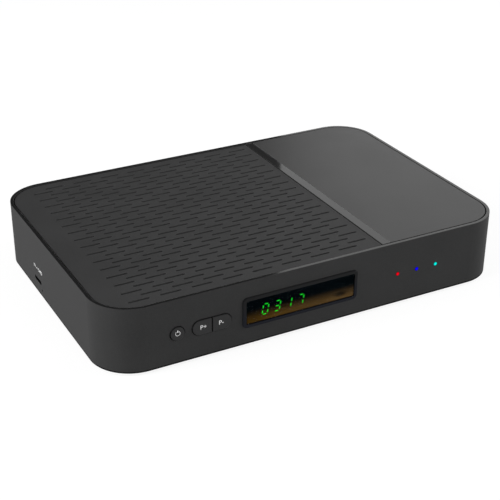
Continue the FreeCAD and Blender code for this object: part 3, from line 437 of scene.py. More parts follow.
def display_film():
    """Filter behind the pane: black above as painted shade, fading into a brushed amber foil with a dark
    smudge below.
    """
    look = Look("display_filter_film")
    x = look.axis("X")
    z = look.axis("Z")
    left = (WINDOW_X - BEZEL_OPENING[0] / 2) * MM
    right = (WINDOW_X + BEZEL_OPENING[0] / 2) * MM
    bottom = (WINDOW_Z - BEZEL_OPENING[1] / 2) * MM
    waves = look.math("SUBTRACT", look.noise(40.0, detail=1.0), 0.5)
    height = look.math("ADD", z, look.math("MULTIPLY", waves, FILM_SHADE_WAVES * MM))
    brushed = look.noise(240.0, detail=5.0, vector=look.stretched((0.35, 1, 3)))
    smudge_x = centre("infrared_receiver").x + SMUDGE_OFFSET
    smudge = look.away((smudge_x * SMUDGE_STRETCH * MM, 0, SMUDGE_Z * MM), (SMUDGE_STRETCH, 0, 1))
    # Painted shade: black above the edge, amber foil below it
    foil_and_painted_shade = look.spread(height, (FILM_SHADE_EDGE + FILM_SHADE_SOFT) * MM, (FILM_SHADE_EDGE - FILM_SHADE_SOFT) * MM)
    for part in (look.spread(x, left, left + FILM_LEFT_FADE * MM, 0.72, 1.0),
                 look.spread(brushed, 0.25, 0.75, 0.84, 1.0),
                 look.spread(x, left, left + FILM_MARGIN * MM),
                 look.spread(z, bottom + FILM_FOOT[0] * MM, bottom + FILM_FOOT[1] * MM),
                 look.spread(smudge, SMUDGE_RADII[0] * MM, SMUDGE_RADII[1] * MM, 0.25, 1.0)):
        foil_and_painted_shade = look.math("MULTIPLY", foil_and_painted_shade, part)
    amber = look.blend(look.spread(x, left, right), (0.150, 0.071, 0.0090), (0.200, 0.108, 0.0360))
    # The near-black colour is the painted shade above the foil
    return look.done(look.surface(Base_Color=look.blend(foil_and_painted_shade, (0.0016, 0.0034, 0.0044), amber), Roughness=0.6,
                                  Specular_IOR_Level=0.0, Normal=look.bumped(brushed, 0.05)))


def lit_segment():
    look = Look("lit_segment_green")
    glow = look.patched(look.noise(1500.0), (0.004, 0.86, 0.016), (0.012, 0.92, 0.024))
    return look.done(look.surface(Base_Color=(0.002, 0.10, 0.004), Roughness=0.5, Specular_IOR_Level=0.0,
                                  Emission_Color=glow, Emission_Strength=1.0))


def dark_segment():
    look = Look("unlit_segment")
    paint = look.patched(look.noise(1500.0), (0.004, 0.010, 0.005), (0.008, 0.018, 0.008))
    dim = look.surface(Base_Color=paint, Roughness=0.6, Specular_IOR_Level=0.0)
    return look.done(look.joined(0.15, look.add("ShaderNodeBsdfTransparent").outputs[0], dim))


# Colour of each light pipe's wall and of its core
PIPE_COLOURS = {"red": ((0.16, 0.001, 0.003), (0.94, 0.0, 0.010)),
                "blue": ((0.003, 0.002, 0.22), (0.004, 0.0, 1.0)),
                "cyan": ((0.001, 0.20, 0.18), (0.001, 1.0, 0.86))}
PIPE_CORE = (0.45, 1.0)


def lit_lens(colour, node):
    """End of a light pipe: brightest in the middle, with a darker wall."""
    look = Look(f"{colour}_pipe_lit")
    wall, core = PIPE_COLOURS[colour]
    middle = centre(node)
    away = look.away((middle.x * MM, 0, middle.z * MM), (1, 0, 1))
    inside = look.spread(away, PIPE_CORE[0] * MM, PIPE_CORE[1] * MM, 1.0, 0.0)
    normal = look.bumped(look.noise(1800.0), 0.01, look.soft_edges(0.12))
    return look.done(look.surface(Base_Color=shade(wall, 0.1), Roughness=0.3, Specular_IOR_Level=0.01,
                                  Emission_Color=look.blend(inside, wall, core), Emission_Strength=1.0,
                                  Normal=normal))


def print_ink(name, colour):
    """Screen-printed ink with a slightly broken surface."""
    look = Look(name)
    grain = look.noise(3200.0)
    paint = look.blend(look.spread(grain, 0.3, 0.6), shade(colour, 0.86), colour)
    return look.done(look.surface(Base_Color=paint, Roughness=0.55, Specular_IOR_Level=0.25,
                                  Normal=look.bumped(grain, 0.01)))


def dark_window():
    look = Look("display_glass_black")
    paint = look.patched(look.noise(700.0), (0.002, 0.002, 0.003), (0.006, 0.006, 0.007))
    return look.done(look.surface(Base_Color=paint, Roughness=0.2, Normal=look.soft_edges(0.15)))


MATERIALS = {
    "case_plastic": case_plastic(),
    "vent_plastic": vent_plastic(),
    "divider_plastic": moulded("divider_polished", (0.0260, 0.0260, 0.0260), 0.05, 0.49,
                               grain=1.2, depth=0.0015, edge=0.2),
    "panel_plastic": moulded("smooth_panel_satin", (0.0218, 0.0218, 0.0218), 0.34, 0.41,
                             grain=0.28, depth=0.008, edge=0.2),
    "cover_plastic": moulded("bottom_cover_grained", (0.025, 0.025, 0.026), 0.55, 0.3,
                             grain=0.5, depth=0.02, edge=0.3),
    "rear_plastic": moulded("rear_panel_grained", (0.0235, 0.0235, 0.0248), 0.5, 0.3,
                            grain=0.45, depth=0.016, edge=0.3),
    "button_plastic": moulded("button_satin", (0.0182, 0.0182, 0.0185), 0.42, 0.17, grain=0.3, depth=0.008),
    "bezel_plastic": bezel_gloss(),
    "smoked_window": smoked_glass(),
    "display_black": dark_window(),
    "foot_rubber": rubber(),
    "screw_steel": metal("screw_zinc", (0.42, 0.42, 0.40), 0.32, scale=2200.0),
    "board_laminate": board(),
    "tin_plate": metal("tin_plate_rolled", (0.58, 0.58, 0.56), 0.33, streak=(1, 0.08, 1), scale=700.0),
    "nickel_plate": metal("nickel_plate_turned", (0.60, 0.57, 0.52), 0.24, streak=(1, 6, 1), scale=1500.0),
    "white_plastic": moulded("insulator_white", (0.74, 0.73, 0.69), 0.4, 0.45,
                             grain=0.5, depth=0.01, edge=0.15),
    "black_plastic": moulded("connector_black", (0.012, 0.012, 0.013), 0.45, 0.4, grain=0.5, edge=0.15),
    "contact_gold": metal("contact_gold_flash", (0.83, 0.60, 0.24), 0.26, scale=2500.0),
    "card_steel": metal("card_cage_steel", (0.14, 0.14, 0.145), 0.42, streak=(0.1, 1, 1)),
    "ribbon_film": ribbon(),
    "chip_black": moulded("chip_epoxy", (0.014, 0.014, 0.015), 0.62, 0.3, grain=0.22, depth=0.02, edge=0.1),
    "sink_aluminium": metal("sink_extruded", (0.66, 0.67, 0.69), 0.38, streak=(1, 0.05, 1)),
    "capacitor_sleeve": capacitor_sleeve(),
}
INK = print_ink("legend_ink_white", (0.80, 0.80, 0.80))
INK_GREY = print_ink("legend_ink_grey", (0.42, 0.42, 0.42))
SEGMENT_ON = lit_segment()
SEGMENT_OFF = dark_segment()

SLOT_OF = {row["node"]: row["material_slot"] for row in frame["record"]["subparts"]}
for node_name, shown in NODES.items():
    wanted = SLOT_OF[node_name]
    if wanted not in MATERIALS:
        colour = node_name.split("_")[0]
        MATERIALS[node_name] = lit_lens(colour, node_name)
        wanted = node_name
    shown.data.materials.clear()
    shown.data.materials.append(MATERIALS[wanted])


# ---------------------------------------------------------------- mesh making

def piece(name, parts, material, body):
    """One object out of (points, faces) parts in millimetres, riding on a CAD body."""
    points = []
    faces = []
    for part_points, part_faces in parts:
        start = len(points)
        points += [Vector(point) * MM for point in part_points]
        faces += [[start + index for index in face] for face in part_faces]
    mesh = bpy.data.meshes.new(name)
    mesh.from_pydata(points, [], faces)
    mesh.validate()
    shape = bmesh.new()
    shape.from_mesh(mesh)
    bmesh.ops.recalc_face_normals(shape, faces=shape.faces)
    shape.to_mesh(mesh)
    shape.free()
    mesh.materials.append(material)
    made = bpy.data.objects.new(name, mesh)
    bpy.context.scene.collection.objects.link(made)
    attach(made, body)
    return made


def smooth(made, angle=35.0):
    for face in made.data.polygons:
        face.use_smooth = True
    made.data.set_sharp_from_angle(angle=radians(angle))
    return made


def placed(part, spot, turn=UPWARDS):
    """A part moved to a spot, with its own axes turned into the columns of turn."""
    points, faces = part
    return [turn @ Vector(point) + Vector(spot) for point in points], faces


def lathe(profile, steps):
    """Solid of revolution about local Z from (radius, height) points, whose ends lie on the axis or meet."""
    points = []
    rings = []
    for radius, height in profile:
        if radius == 0:
            rings.append([len(points)])
            points.append((0, 0, height))
        else:
            rings.append(list(range(len(points), len(points) + steps)))
            points += [(radius * cos(2 * pi * turn / steps), radius * sin(2 * pi * turn / steps), height)
                       for turn in range(steps)]
    faces = []
    for lower, upper in zip(rings, rings[1:]):
        for turn in range(steps):
            after = (turn + 1) % steps
            loop = [lower[turn % len(lower)], lower[after % len(lower)],
                    upper[after % len(upper)], upper[turn % len(upper)]]
            faces.append(list(dict.fromkeys(loop)))
    return points, faces


def slab(outline, low, high):
    """Flat plate from an outline in local X and Y, between two heights."""
    count = len(outline)
    points = [(x, y, low) for x, y in outline] + [(x, y, high) for x, y in outline]
    faces = [list(range(count))[::-1], list(range(count, 2 * count))]
    faces += [[step, (step + 1) % count, count + (step + 1) % count, count + step] for step in range(count)]
    return points, faces


def band(outer, inner, low, high):
    """Flat frame between two outlines with as many points."""
    count = len(outer)
    points = []
    for height in (low, high):
        points += [(x, y, height) for x, y in outer] + [(x, y, height) for x, y in inner]
    faces = []
    for step in range(count):
        after = (step + 1) % count
        low_outer, low_inner = (step, after), (count + step, count + after)
        top = 2 * count
        faces.append([low_outer[0], low_inner[0], low_inner[1], low_outer[1]])
        faces.append([top + low_outer[0], top + low_outer[1], top + low_inner[1], top + low_inner[0]])
        faces.append([low_outer[0], low_outer[1], top + low_outer[1], top + low_outer[0]])
        faces.append([low_inner[1], low_inner[0], top + low_inner[0], top + low_inner[1]])
    return points, faces


def round_box(width, height, radius, steps=5):
    """Outline of a rectangle with rounded corners about the origin."""
    outline = []
    for corner in range(4):
        middle_x = (width / 2 - radius) * (1 if corner in (0, 3) else -1)
        middle_y = (height / 2 - radius) * (1 if corner in (0, 1) else -1)
        for step in range(steps + 1):
            angle = pi / 2 * (corner + step / steps)
            outline.append((middle_x + radius * cos(angle), middle_y + radius * sin(angle)))
    return outline


def arc_band(outer, inner, start, end, steps=28):
    """Outline of a bent bar between two radii, angles in degrees."""
    angles = [radians(start + (end - start) * step / steps) for step in range(steps + 1)]
    return ([(outer * cos(angle), outer * sin(angle)) for angle in angles]
            + [(inner * cos(angle), inner * sin(angle)) for angle in reversed(angles)])


def dot_outline(radius):
    """Outline of a small dot about the origin."""
    return arc_band(radius, 0.02, 0, 350, 14)


def carved(parts, cutters, operation="DIFFERENCE"):
    """Parts cut by, or kept inside, the cutters, as one (points, faces) part."""
    made = []
    for group in (parts, cutters):
        made.append(piece("carving", group, INK, "case"))
    body, tool = made
    cut = body.modifiers.new("cut", "BOOLEAN")
    cut.object = tool
    cut.operation = operation
    cut.solver = "EXACT"
    bpy.context.view_layer.update()
    result = body.evaluated_get(bpy.context.evaluated_depsgraph_get()).to_mesh()
    part = ([vertex.co / MM for vertex in result.vertices], [list(face.vertices) for face in result.polygons])
    for temporary in made:
        bpy.data.objects.remove(temporary)
    return part


def letters(text, height, thickness=PRINT, weight=0.0):
    """Printed text as a part about the origin, in local X and Y, with capitals of this height."""
    curve = bpy.data.curves.new("letters", "FONT")
    curve.body = text
    curve.size = 1.0
    curve.resolution_u = 4
    curve.offset = weight
    curve.align_x = "CENTER"
    shown = bpy.data.objects.new("letters", curve)
    bpy.context.scene.collection.objects.link(shown)
    bpy.context.view_layer.update()
    flat = shown.evaluated_get(bpy.context.evaluated_depsgraph_get()).to_mesh()
    shape = bmesh.new()
    shape.from_mesh(flat)
    bpy.data.objects.remove(shown)
    bmesh.ops.remove_doubles(shape, verts=shape.verts, dist=1e-5)
    lows = [min(vertex.co[axis] for vertex in shape.verts) for axis in (0, 1)]
    highs = [max(vertex.co[axis] for vertex in shape.verts) for axis in (0, 1)]
    scale = height / (highs[1] - lows[1])
    for vertex in shape.verts:
        vertex.co = Vector(((vertex.co.x - (lows[0] + highs[0]) / 2) * scale,
                            (vertex.co.y - (lows[1] + highs[1]) / 2) * scale, thickness[0]))
    raised = bmesh.ops.extrude_face_region(shape, geom=shape.faces[:])
    for item in raised["geom"]:
        if isinstance(item, bmesh.types.BMVert):
            item.co.z = thickness[1]
    shape.verts.index_update()
    part = ([vertex.co.copy() for vertex in shape.verts],
            [[vertex.index for vertex in face.verts] for face in shape.faces])
    shape.free()
    return part


# ---------------------------------------------------------------- front and side legends

button_front = edges("power_button")[0].y
power = centre("power_button")
ICON_RADII = (1.25, 1.04)
ICON_ARC = (122, 418)
ICON_BAR = (0.44, 1.2)
ICON_BAR_Z = 1.09
ICON_RISE = 0.25
icon = [slab(arc_band(*ICON_RADII, *ICON_ARC), *PRINT),
        placed(slab(round_box(*ICON_BAR, 0.2, 3), *PRINT), (0, ICON_BAR_Z, 0))]
icon_spot = (power.x, button_front, power.z + ICON_RISE)
smooth(piece("power_symbol", [placed(part, icon_spot, FRONT) for part in icon],
             INK, "power_button"))

LEGEND_HEIGHT = 2.15
LEGEND_RISE = 0.2
for legend, body_name, legend_x in (("P+", "program_up_button", -62.4), ("P-", "program_down_button", -53.3)):
    printed = placed(letters(legend, LEGEND_HEIGHT), (legend_x, button_front, power.z + LEGEND_RISE), FRONT)
    piece(f"{body_name}_legend", [printed], INK, body_name)

side_wall = edges("upper_shell")[0].x
card = centre("card_socket")
SIDE_LEGEND_Z = 15.3
SIDE_LETTERS = 1.65
SIDE_WEIGHT = 0.006
SIDE_PRINT = (PRINT[0], 0.012)
SIDE_WORDS = (("TV", 3.75), ("CARD", -4.2))
SIDE_DOT_RADIUS = 0.44
SIDE_DOT_ALONG = 0.7
side_legend = [(letters(word, SIDE_LETTERS, SIDE_PRINT, SIDE_WEIGHT), along) for word, along in SIDE_WORDS]
side_legend.append((slab(dot_outline(SIDE_DOT_RADIUS), *SIDE_PRINT), SIDE_DOT_ALONG))
piece("card_legend",
      [placed(part, (side_wall, card.y + along, SIDE_LEGEND_Z), LEFT) for part, along in side_legend],
      INK, "case")

# Width, height and corner radius of the collar and of the slit in it
CARD_MOUTH = (9.3, 2.12, 0.46)
CARD_SLIT = (9.0, 1.1, 0.2)
COLLAR_RECESS = 0.12
cage_front = edges("card_socket")[0].x
collar = band(round_box(*CARD_MOUTH), round_box(*CARD_SLIT), 0, cage_front - side_wall - COLLAR_RECESS)
# Painted shade: the collar is near-black and matt so that it stands in for the shade in the card slot's mouth
slot_shade_black = moulded("card_mouth_matt", (0.0022, 0.0022, 0.0023), 0.9, 0.02, grain=0.3, edge=0.1)
piece("card_mouth_collar", [placed(collar, (cage_front, card.y, mount_z("card_slot")), LEFT)],
      slot_shade_black, "case")


# ---------------------------------------------------------------- display

FILM_DEPTH = 0.4
FILM_HALF = 0.01
FILM_PLAY = 0.12
film_y = edges("display_window")[0].y + FILM_DEPTH
film_outline = round_box(BEZEL_OPENING[0] - FILM_PLAY, BEZEL_OPENING[1] - FILM_PLAY, 0.9)
film = slab(film_outline, -FILM_HALF, FILM_HALF)
piece("display_filter", [placed(film, (WINDOW_X, film_y, WINDOW_Z), FRONT)],
      display_film(), "case")

DIGIT_HEIGHT = 5.7
DIGIT_WIDTH = 3.25
SEGMENT = 0.43
SEGMENT_GAP = 0.48
SLANT = tan(radians(10))
DIGIT_MIDDLE_Z = 18.0
DIGIT_CELLS = {-30.0: "0", -23.6: "3", -17.5: "1", -11.0: "7"}
LIT = {"0": "abcdef", "3": "abcdg", "1": "bc", "7": "abc"}
LIT_PROUD = 0.025
DARK_PROUD = 0.015
COLON_X = -20.3
COLON_YS = (-1.2, 1.2)
COLON_RADIUS = 0.4


def segment_bars():
    """Each segment's name and pointed bar, in local X and Y about the digit's middle."""
    half_x = (DIGIT_WIDTH - SEGMENT) / 2
    half_y = (DIGIT_HEIGHT - SEGMENT) / 2
    half = SEGMENT / 2

    def across(middle_y):
        end = half_x - SEGMENT_GAP
        top = middle_y + half
        bottom = middle_y - half
        return [(-end, middle_y), (-end + half, top), (end - half, top),
                (end, middle_y), (end - half, bottom), (-end + half, bottom)]

    def upright(middle_x, low, high):
        low += SEGMENT_GAP
        high -= SEGMENT_GAP
        right = middle_x + half
        left = middle_x - half
        return [(middle_x, low), (right, low + half), (right, high - half),
                (middle_x, high), (left, high - half), (left, low + half)]

    return {"a": across(half_y), "d": across(-half_y), "g": across(0),
            "b": upright(half_x, 0, half_y), "c": upright(half_x, -half_y, 0),
            "f": upright(-half_x, 0, half_y), "e": upright(-half_x, -half_y, 0)}


def on_film(outline, proud, middle_x):
    """Flat part on the film's front face, at the height of the digits."""
    return placed(slab(outline, 0, proud), (middle_x, film_y - FILM_HALF, DIGIT_MIDDLE_Z), FRONT)


lit_parts = []
dark_parts = []
for cell_x, digit in DIGIT_CELLS.items():
    for segment_name, outline in segment_bars().items():
        slanted = [(x + y * SLANT, y) for x, y in outline]
        if segment_name in LIT[digit]:
            lit_parts.append(on_film(slanted, LIT_PROUD, cell_x))
        else:
            dark_parts.append(on_film(slanted, DARK_PROUD, cell_x))
for dot_y in COLON_YS:
    dot = [(x + dot_y * SLANT, y + dot_y) for x, y in dot_outline(COLON_RADIUS)]
    dark_parts.append(on_film(dot, DARK_PROUD, COLON_X))
piece("display_digits_lit", lit_parts, SEGMENT_ON, "case")
piece("display_digits_unlit", dark_parts, SEGMENT_OFF, "case")


# ---------------------------------------------------------------- screws

HEAD_RADIUS = 2.3
HEAD_HEIGHT = 1.3
# Shares of the head's radius and heights above its seat
HEAD_DOME = ((0.97, 0), (1.0, 0.12), (1.0, 0.55), (0.93, 0.85), (0.78, 1.08), (0.55, 1.23),
             (0.25, HEAD_HEIGHT))
SHANK_RADIUS = 1.25
SHANK_POINT = 1.2
SHANK_BARE = 1.6
SHANK_NECK = 0.1
# Shares of the shank's radius at its tip and at its neck
SHANK_TIP_SHARE = 0.35
SHANK_NECK_SHARE = 0.9
SCREW_PITCH = 0.5
# Shares of the shank's radius and heights within one turn of the thread
SCREW_TURN = ((1.0, 0.12), (0.82, 0.25), (1.0, 0.38))
CROSS_ARM = (2.5, 0.62)
CROSS_CORNER = 0.12
CROSS_FLOOR = 0.35
CROSS_TAPER = 0.55
CROSS_PAST = 0.5


def cross_head_screw(length):
    """Pan-head screw about local Z: its seat is at 0, the shank runs down and the cross is cut from above."""
    tip = SHANK_RADIUS * SHANK_TIP_SHARE
    neck = SHANK_RADIUS * SHANK_NECK_SHARE
    profile = [(0, -length), (tip, -length), (SHANK_RADIUS, SHANK_POINT - length)]
    for number in range(int((length - SHANK_BARE) / SCREW_PITCH)):
        z = SHANK_POINT - length + number * SCREW_PITCH
        profile += [(SHANK_RADIUS * share, z + height) for share, height in SCREW_TURN]
    profile += [(neck, -SHANK_NECK), (neck, 0)]
    profile += [(HEAD_RADIUS * share, height) for share, height in HEAD_DOME]
    screw = lathe(profile + [(0, HEAD_HEIGHT)], 40)
    for size in (CROSS_ARM, CROSS_ARM[::-1]):
        points, faces = slab(round_box(*size, CROSS_CORNER, 2), CROSS_FLOOR, HEAD_HEIGHT + CROSS_PAST)
        tapered = []
        for x, y, z in points:
            share = CROSS_TAPER if z == CROSS_FLOOR else 1.0
            tapered.append((x * share, y * share, z))
        screw = carved([screw], [(tapered, faces)])
    return screw


def screw_row(name, node, turn, spots, length):
    screw = cross_head_screw(length)
    made = piece(name, [placed(screw, spot, turn) for spot in spots],
                 MATERIALS["screw_steel"], "case")
    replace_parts(made, node)
    smooth(made, 40)


rear_face = edges("rear_panel")[1].y
case_low, case_high = edges("case_screws")
case_xs = (case_low.x + HEAD_RADIUS, case_high.x - HEAD_RADIUS)
case_ys = (case_low.y + HEAD_RADIUS, case_high.y - HEAD_RADIUS)
screw_seat = case_low.z + HEAD_HEIGHT
screw_row("case_cross_screws", "case_screws", UNDER, [(x, y, screw_seat) for x in case_xs for y in case_ys],
          case_high.z - screw_seat)
back_low, back_high = edges("rear_panel_screws")
back_xs = (back_low.x + HEAD_RADIUS, back_high.x - HEAD_RADIUS)
back_z = (back_low.z + back_high.z) / 2
screw_row("rear_cross_screws", "rear_panel_screws", REAR, [(x, rear_face, back_z) for x in back_xs],
          rear_face - back_low.y)


# ---------------------------------------------------------------- threaded connectors and nuts

THREAD_RADIUS = 4.7625
THREAD_PITCH = 0.79375
THREAD_DEPTH = 0.42
THREAD_FLANK = 3.2
THREAD_ROOT = 0.25
THREAD_STEPS = 48
ROWS_A_TURN = 8
RUN_IN = 0.5
RUN_OUT = 0.55
END_SLOPE = 0.9
END_STEP = 0.02
TIP_DROP = 0.5
NECK_RADIUS = 4.6
BORE_RADIUS = 3.4
BORE_DEPTH = 8.0
BORE_CHAMFER = 0.12


def threaded_barrel(length, thread_start):
    """Connector about local Z with its back at 0 and a helical thread up to a chamfered tip."""
    points = []

    def ring(radii, z):
        start = len(points)
        for step, radius in enumerate(radii):
            angle = 2 * pi * step / THREAD_STEPS
            points.append((radius * cos(angle), radius * sin(angle), z))
        return list(range(start, start + THREAD_STEPS))

    def plain(radius, z):
        return ring([radius] * THREAD_STEPS, z)

    def thread_radius(step, z):
        phase = (z / THREAD_PITCH - step / THREAD_STEPS) % 1.0
        crest = min(1.0, max(0.0, THREAD_FLANK * abs(phase - 0.5) - THREAD_ROOT))
        from_ends = max(z - (length - RUN_OUT), thread_start + RUN_IN - z)
        return THREAD_RADIUS - max(THREAD_DEPTH * (1 - crest), END_SLOPE * from_ends)

    loops = [plain(NECK_RADIUS, 0), plain(NECK_RADIUS, thread_start - END_STEP)]
    height = thread_start
    while height < length:
        loops.append(ring([thread_radius(step, height) for step in range(THREAD_STEPS)], height))
        height += THREAD_PITCH / ROWS_A_TURN
    loops += [plain(THREAD_RADIUS - TIP_DROP, length), plain(BORE_RADIUS + BORE_CHAMFER, length),
              plain(BORE_RADIUS, length - BORE_CHAMFER), plain(BORE_RADIUS, length - BORE_DEPTH)]
    faces = []
    for lower, upper in zip(loops, loops[1:]):
        for step in range(THREAD_STEPS):
            after = (step + 1) % THREAD_STEPS
            faces.append([lower[step], lower[after], upper[after], upper[step]])
    return points, faces + [loops[0][::-1], loops[-1]]


NUT_FLATS = 11.1
NUT_HOLE = NECK_RADIUS + 0.03
NUT_CHAMFER = 0.42
HOLE_CHAMFER = 0.25
NUT_LAND_INSET = 0.1
# How far the shapes that cut the nut reach past its corners and its ends
CUTTER_PLAY = 0.02
CUTTER_PAST = 1.0


def chamfered_nut(thickness):
    """Six-sided nut about local Z with turned corners and a chamfered hole."""
    corner = NUT_FLATS / sqrt(3)
    reach = corner + CUTTER_PLAY
    land = NUT_FLATS / 2 - NUT_LAND_INSET
    past = thickness + CUTTER_PAST
    mouth = NUT_HOLE + HOLE_CHAMFER
    hexagon = [(corner * cos(pi / 3 * turn), corner * sin(pi / 3 * turn)) for turn in range(6)]
    turned = lathe([(0, 0), (land, 0), (reach, NUT_CHAMFER), (reach, thickness - NUT_CHAMFER),
                    (land, thickness), (0, thickness)], 72)
    nut = carved([slab(hexagon, 0, thickness)], [turned], "INTERSECT")
    bore = lathe([(0, -CUTTER_PAST), (mouth, -CUTTER_PAST), (NUT_HOLE, HOLE_CHAMFER),
                  (NUT_HOLE, thickness - HOLE_CHAMFER), (mouth + CUTTER_PAST, past), (0, past)], 48)
    return carved([nut], [bore])


nut_low, nut_high = edges("connector_nuts")
nut_part = chamfered_nut(nut_high.y - nut_low.y)
barrel_spots = []
for node_name in ("lnb_out_connector", "lnb_in_connector"):
    barrel_low, barrel_high = edges(node_name)
    middle = centre(node_name)
    barrel = threaded_barrel(barrel_high.y - barrel_low.y, nut_high.y - barrel_low.y)
    made = piece(f"{node_name}_threaded", [placed(barrel, (middle.x, barrel_low.y, middle.z), REAR)],
                 MATERIALS["nickel_plate"], "case")
    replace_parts(smooth(made, 50), node_name)
    barrel_spots.append(middle)
nuts = piece("connector_nuts_turned",
             [placed(nut_part, (spot.x, nut_low.y, spot.z), REAR) for spot in barrel_spots],
             MATERIALS["nickel_plate"], "case")
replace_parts(smooth(nuts, 30), "connector_nuts")

CLIP_RADII = (0.95, 0.62)
CLIP_ARCS = ((208, 332), (28, 152))
CLIP_SPAN = (-2.0, 0.25)
clip_y = edges("connector_insulators")[1].y
clip_parts = []
for spot in barrel_spots:
    for arc in CLIP_ARCS:
        leaf = slab(arc_band(*CLIP_RADII, *arc, 12), *CLIP_SPAN)
        clip_parts.append(placed(leaf, (spot.x, clip_y, spot.z), REAR))
smooth(piece("centre_contacts", clip_parts, MATERIALS["contact_gold"], "case"))


# ---------------------------------------------------------------- rear sockets

face_y = edges("network_socket")[1].y
network = centre("network_socket")
LAMP_X = 6.95
LAMP_RISE = 10.0
LAMP_SIZE = (1.5, 2.2, 0.3, 4)
LAMP_SPAN = (-0.8, 0.06)
lamp_z = edges("network_socket")[0].z + LAMP_RISE
for side, lens_colour, glow in ((-1, "amber", (0.55, 0.22, 0.01)), (1, "green", (0.03, 0.35, 0.04))):
    look = Look(f"network_lamp_{lens_colour}")
    grain = look.noise(1200.0)
    tint = look.patched(grain, shade(glow, 0.55), shade(glow, 0.9))
    lens_material = look.done(look.surface(Base_Color=tint, Roughness=0.2,
                                           Normal=look.bumped(grain, 0.02, look.soft_edges(0.15))))
    lens = slab(round_box(*LAMP_SIZE), *LAMP_SPAN)
    piece(f"network_lamp_{lens_colour}", [placed(lens, (network.x + side * LAMP_X, face_y, lamp_z), REAR)],
          lens_material, "case")

# A contact's width, length, corner radius and corner steps; its depth is from the mouth to its middle
USB_TONGUE_DROP = 3.3
USB_CONTACT = (1.0, 7.6, 0.2, 3)
USB_CONTACT_XS = (-3.5, -1.0, 1.0, 3.5)
USB_CONTACT_DEPTH = 5.4
VIDEO_TONGUE_HALF = 0.6
VIDEO_CONTACT = (0.45, 7.0, 0.1, 2)
VIDEO_CONTACT_DEPTH = 4.9

usb = centre("usb_socket")
tongue_z = edges("usb_socket")[1].z - USB_TONGUE_DROP
usb_contact = slab(round_box(*USB_CONTACT), 0, 0.05)
piece("usb_contacts", [placed(usb_contact, (usb.x + x, face_y - USB_CONTACT_DEPTH, tongue_z), UNDER)
                       for x in USB_CONTACT_XS], MATERIALS["contact_gold"], "case")

video = centre("video_socket")
video_contact = slab(round_box(*VIDEO_CONTACT), 0, 0.04)
video_contacts = []
for count, turn, z in ((10, UPWARDS, video.z + VIDEO_TONGUE_HALF), (9, UNDER, video.z - VIDEO_TONGUE_HALF)):
    for number in range(count):
        x = video.x + number - (count - 1) / 2
        video_contacts.append(placed(video_contact, (x, face_y - VIDEO_CONTACT_DEPTH, z), turn))
piece("video_contacts", video_contacts, MATERIALS["contact_gold"], "case")

# Turned rings in the round sockets, as radii and heights from the sockets' face
AV_RING = ((1.8, -0.6), (1.8, 0.02), (1.95, 0.1), (2.45, 0.1), (2.5, 0.02), (2.5, -0.6), (1.8, -0.6))
INLET_SLEEVE = ((2.85, -7.5), (2.85, -0.55), (3.0, -0.4), (3.18, -0.4), (3.18, -7.5), (2.85, -7.5))
for ring_name, node_name, profile, plate in (
        ("av_mouth_ring", "av_socket", AV_RING, "nickel_plate"),
        ("inlet_sleeve", "power_inlet_pin", INLET_SLEEVE, "tin_plate")):
    middle = centre(node_name)
    smooth(piece(ring_name, [placed(lathe(profile, 48), (middle.x, face_y, middle.z), REAR)],
                 MATERIALS[plate], "case"))

LEGEND_ROW_Z = 24.6
REAR_LETTERS = 1.7
REAR_WEIGHT = 0.01
RULE_DROP = 1.9
RULE_WIDTH = 0.25
TUNER_RULE = 16.0
# Each word, the node it names and half the length of the rule under it
REAR_WORDS = (("DC IN", "power_inlet_pin", 5.2), ("AV", "av_socket", 4.4), ("OPTICAL", "optical_socket", 6.2),
              ("VIDEO", "video_socket", 8.6), ("DATA", "usb_socket", 8.2), ("LAN", "network_socket", 9.0))
words = [(word, centre(node).x) for word, node, half in REAR_WORDS]
words += [(word, spot.x) for word, spot in zip(("OUT", "IN"), barrel_spots)]
legend_parts = []
for word, x in words:
    printed = letters(word, REAR_LETTERS, weight=REAR_WEIGHT)
    legend_parts.append(placed(printed, (x, rear_face, LEGEND_ROW_Z), REAR))
piece("rear_legends", legend_parts, INK_GREY, "case")
rules = [(centre(node).x, half) for word, node, half in REAR_WORDS]
rules.append(((barrel_spots[0].x + barrel_spots[1].x) / 2, TUNER_RULE))
rule_parts = []
for x, half in rules:
    rule = slab(round_box(2 * half, RULE_WIDTH, 0.12, 2), *PRINT)
    rule_parts.append(placed(rule, (x, rear_face, LEGEND_ROW_Z - RULE_DROP), REAR))
piece("rear_legend_rules", rule_parts, INK_GREY, "case")


# ---------------------------------------------------------------- stage, lamps and camera

def stage_plane(name, corners, material):
    """Four-cornered piece of the stage."""
    mesh = bpy.data.meshes.new(name)
    mesh.from_pydata(corners, [], [(0, 1, 2, 3)])
    mesh.materials.append(material)
    made = bpy.data.objects.new(name, mesh)
    bpy.context.scene.collection.objects.link(made)
    return made


def shown_rays(look):
    """1 for rays that show the background as it is, which are camera, mirror-like and see-through ones."""
    path = look.add("ShaderNodeLightPath")
    shown = look.math("MAXIMUM", path.outputs["Is Camera Ray"], path.outputs["Is Glossy Ray"])
    return look.math("MAXIMUM", shown, path.outputs["Is Transmission Ray"])


FLOOR_GLOW = 0.86
FLOOR_GREY = (0.195, 0.195, 0.195)
FLOOR_FADE = (0.35, 2.2)


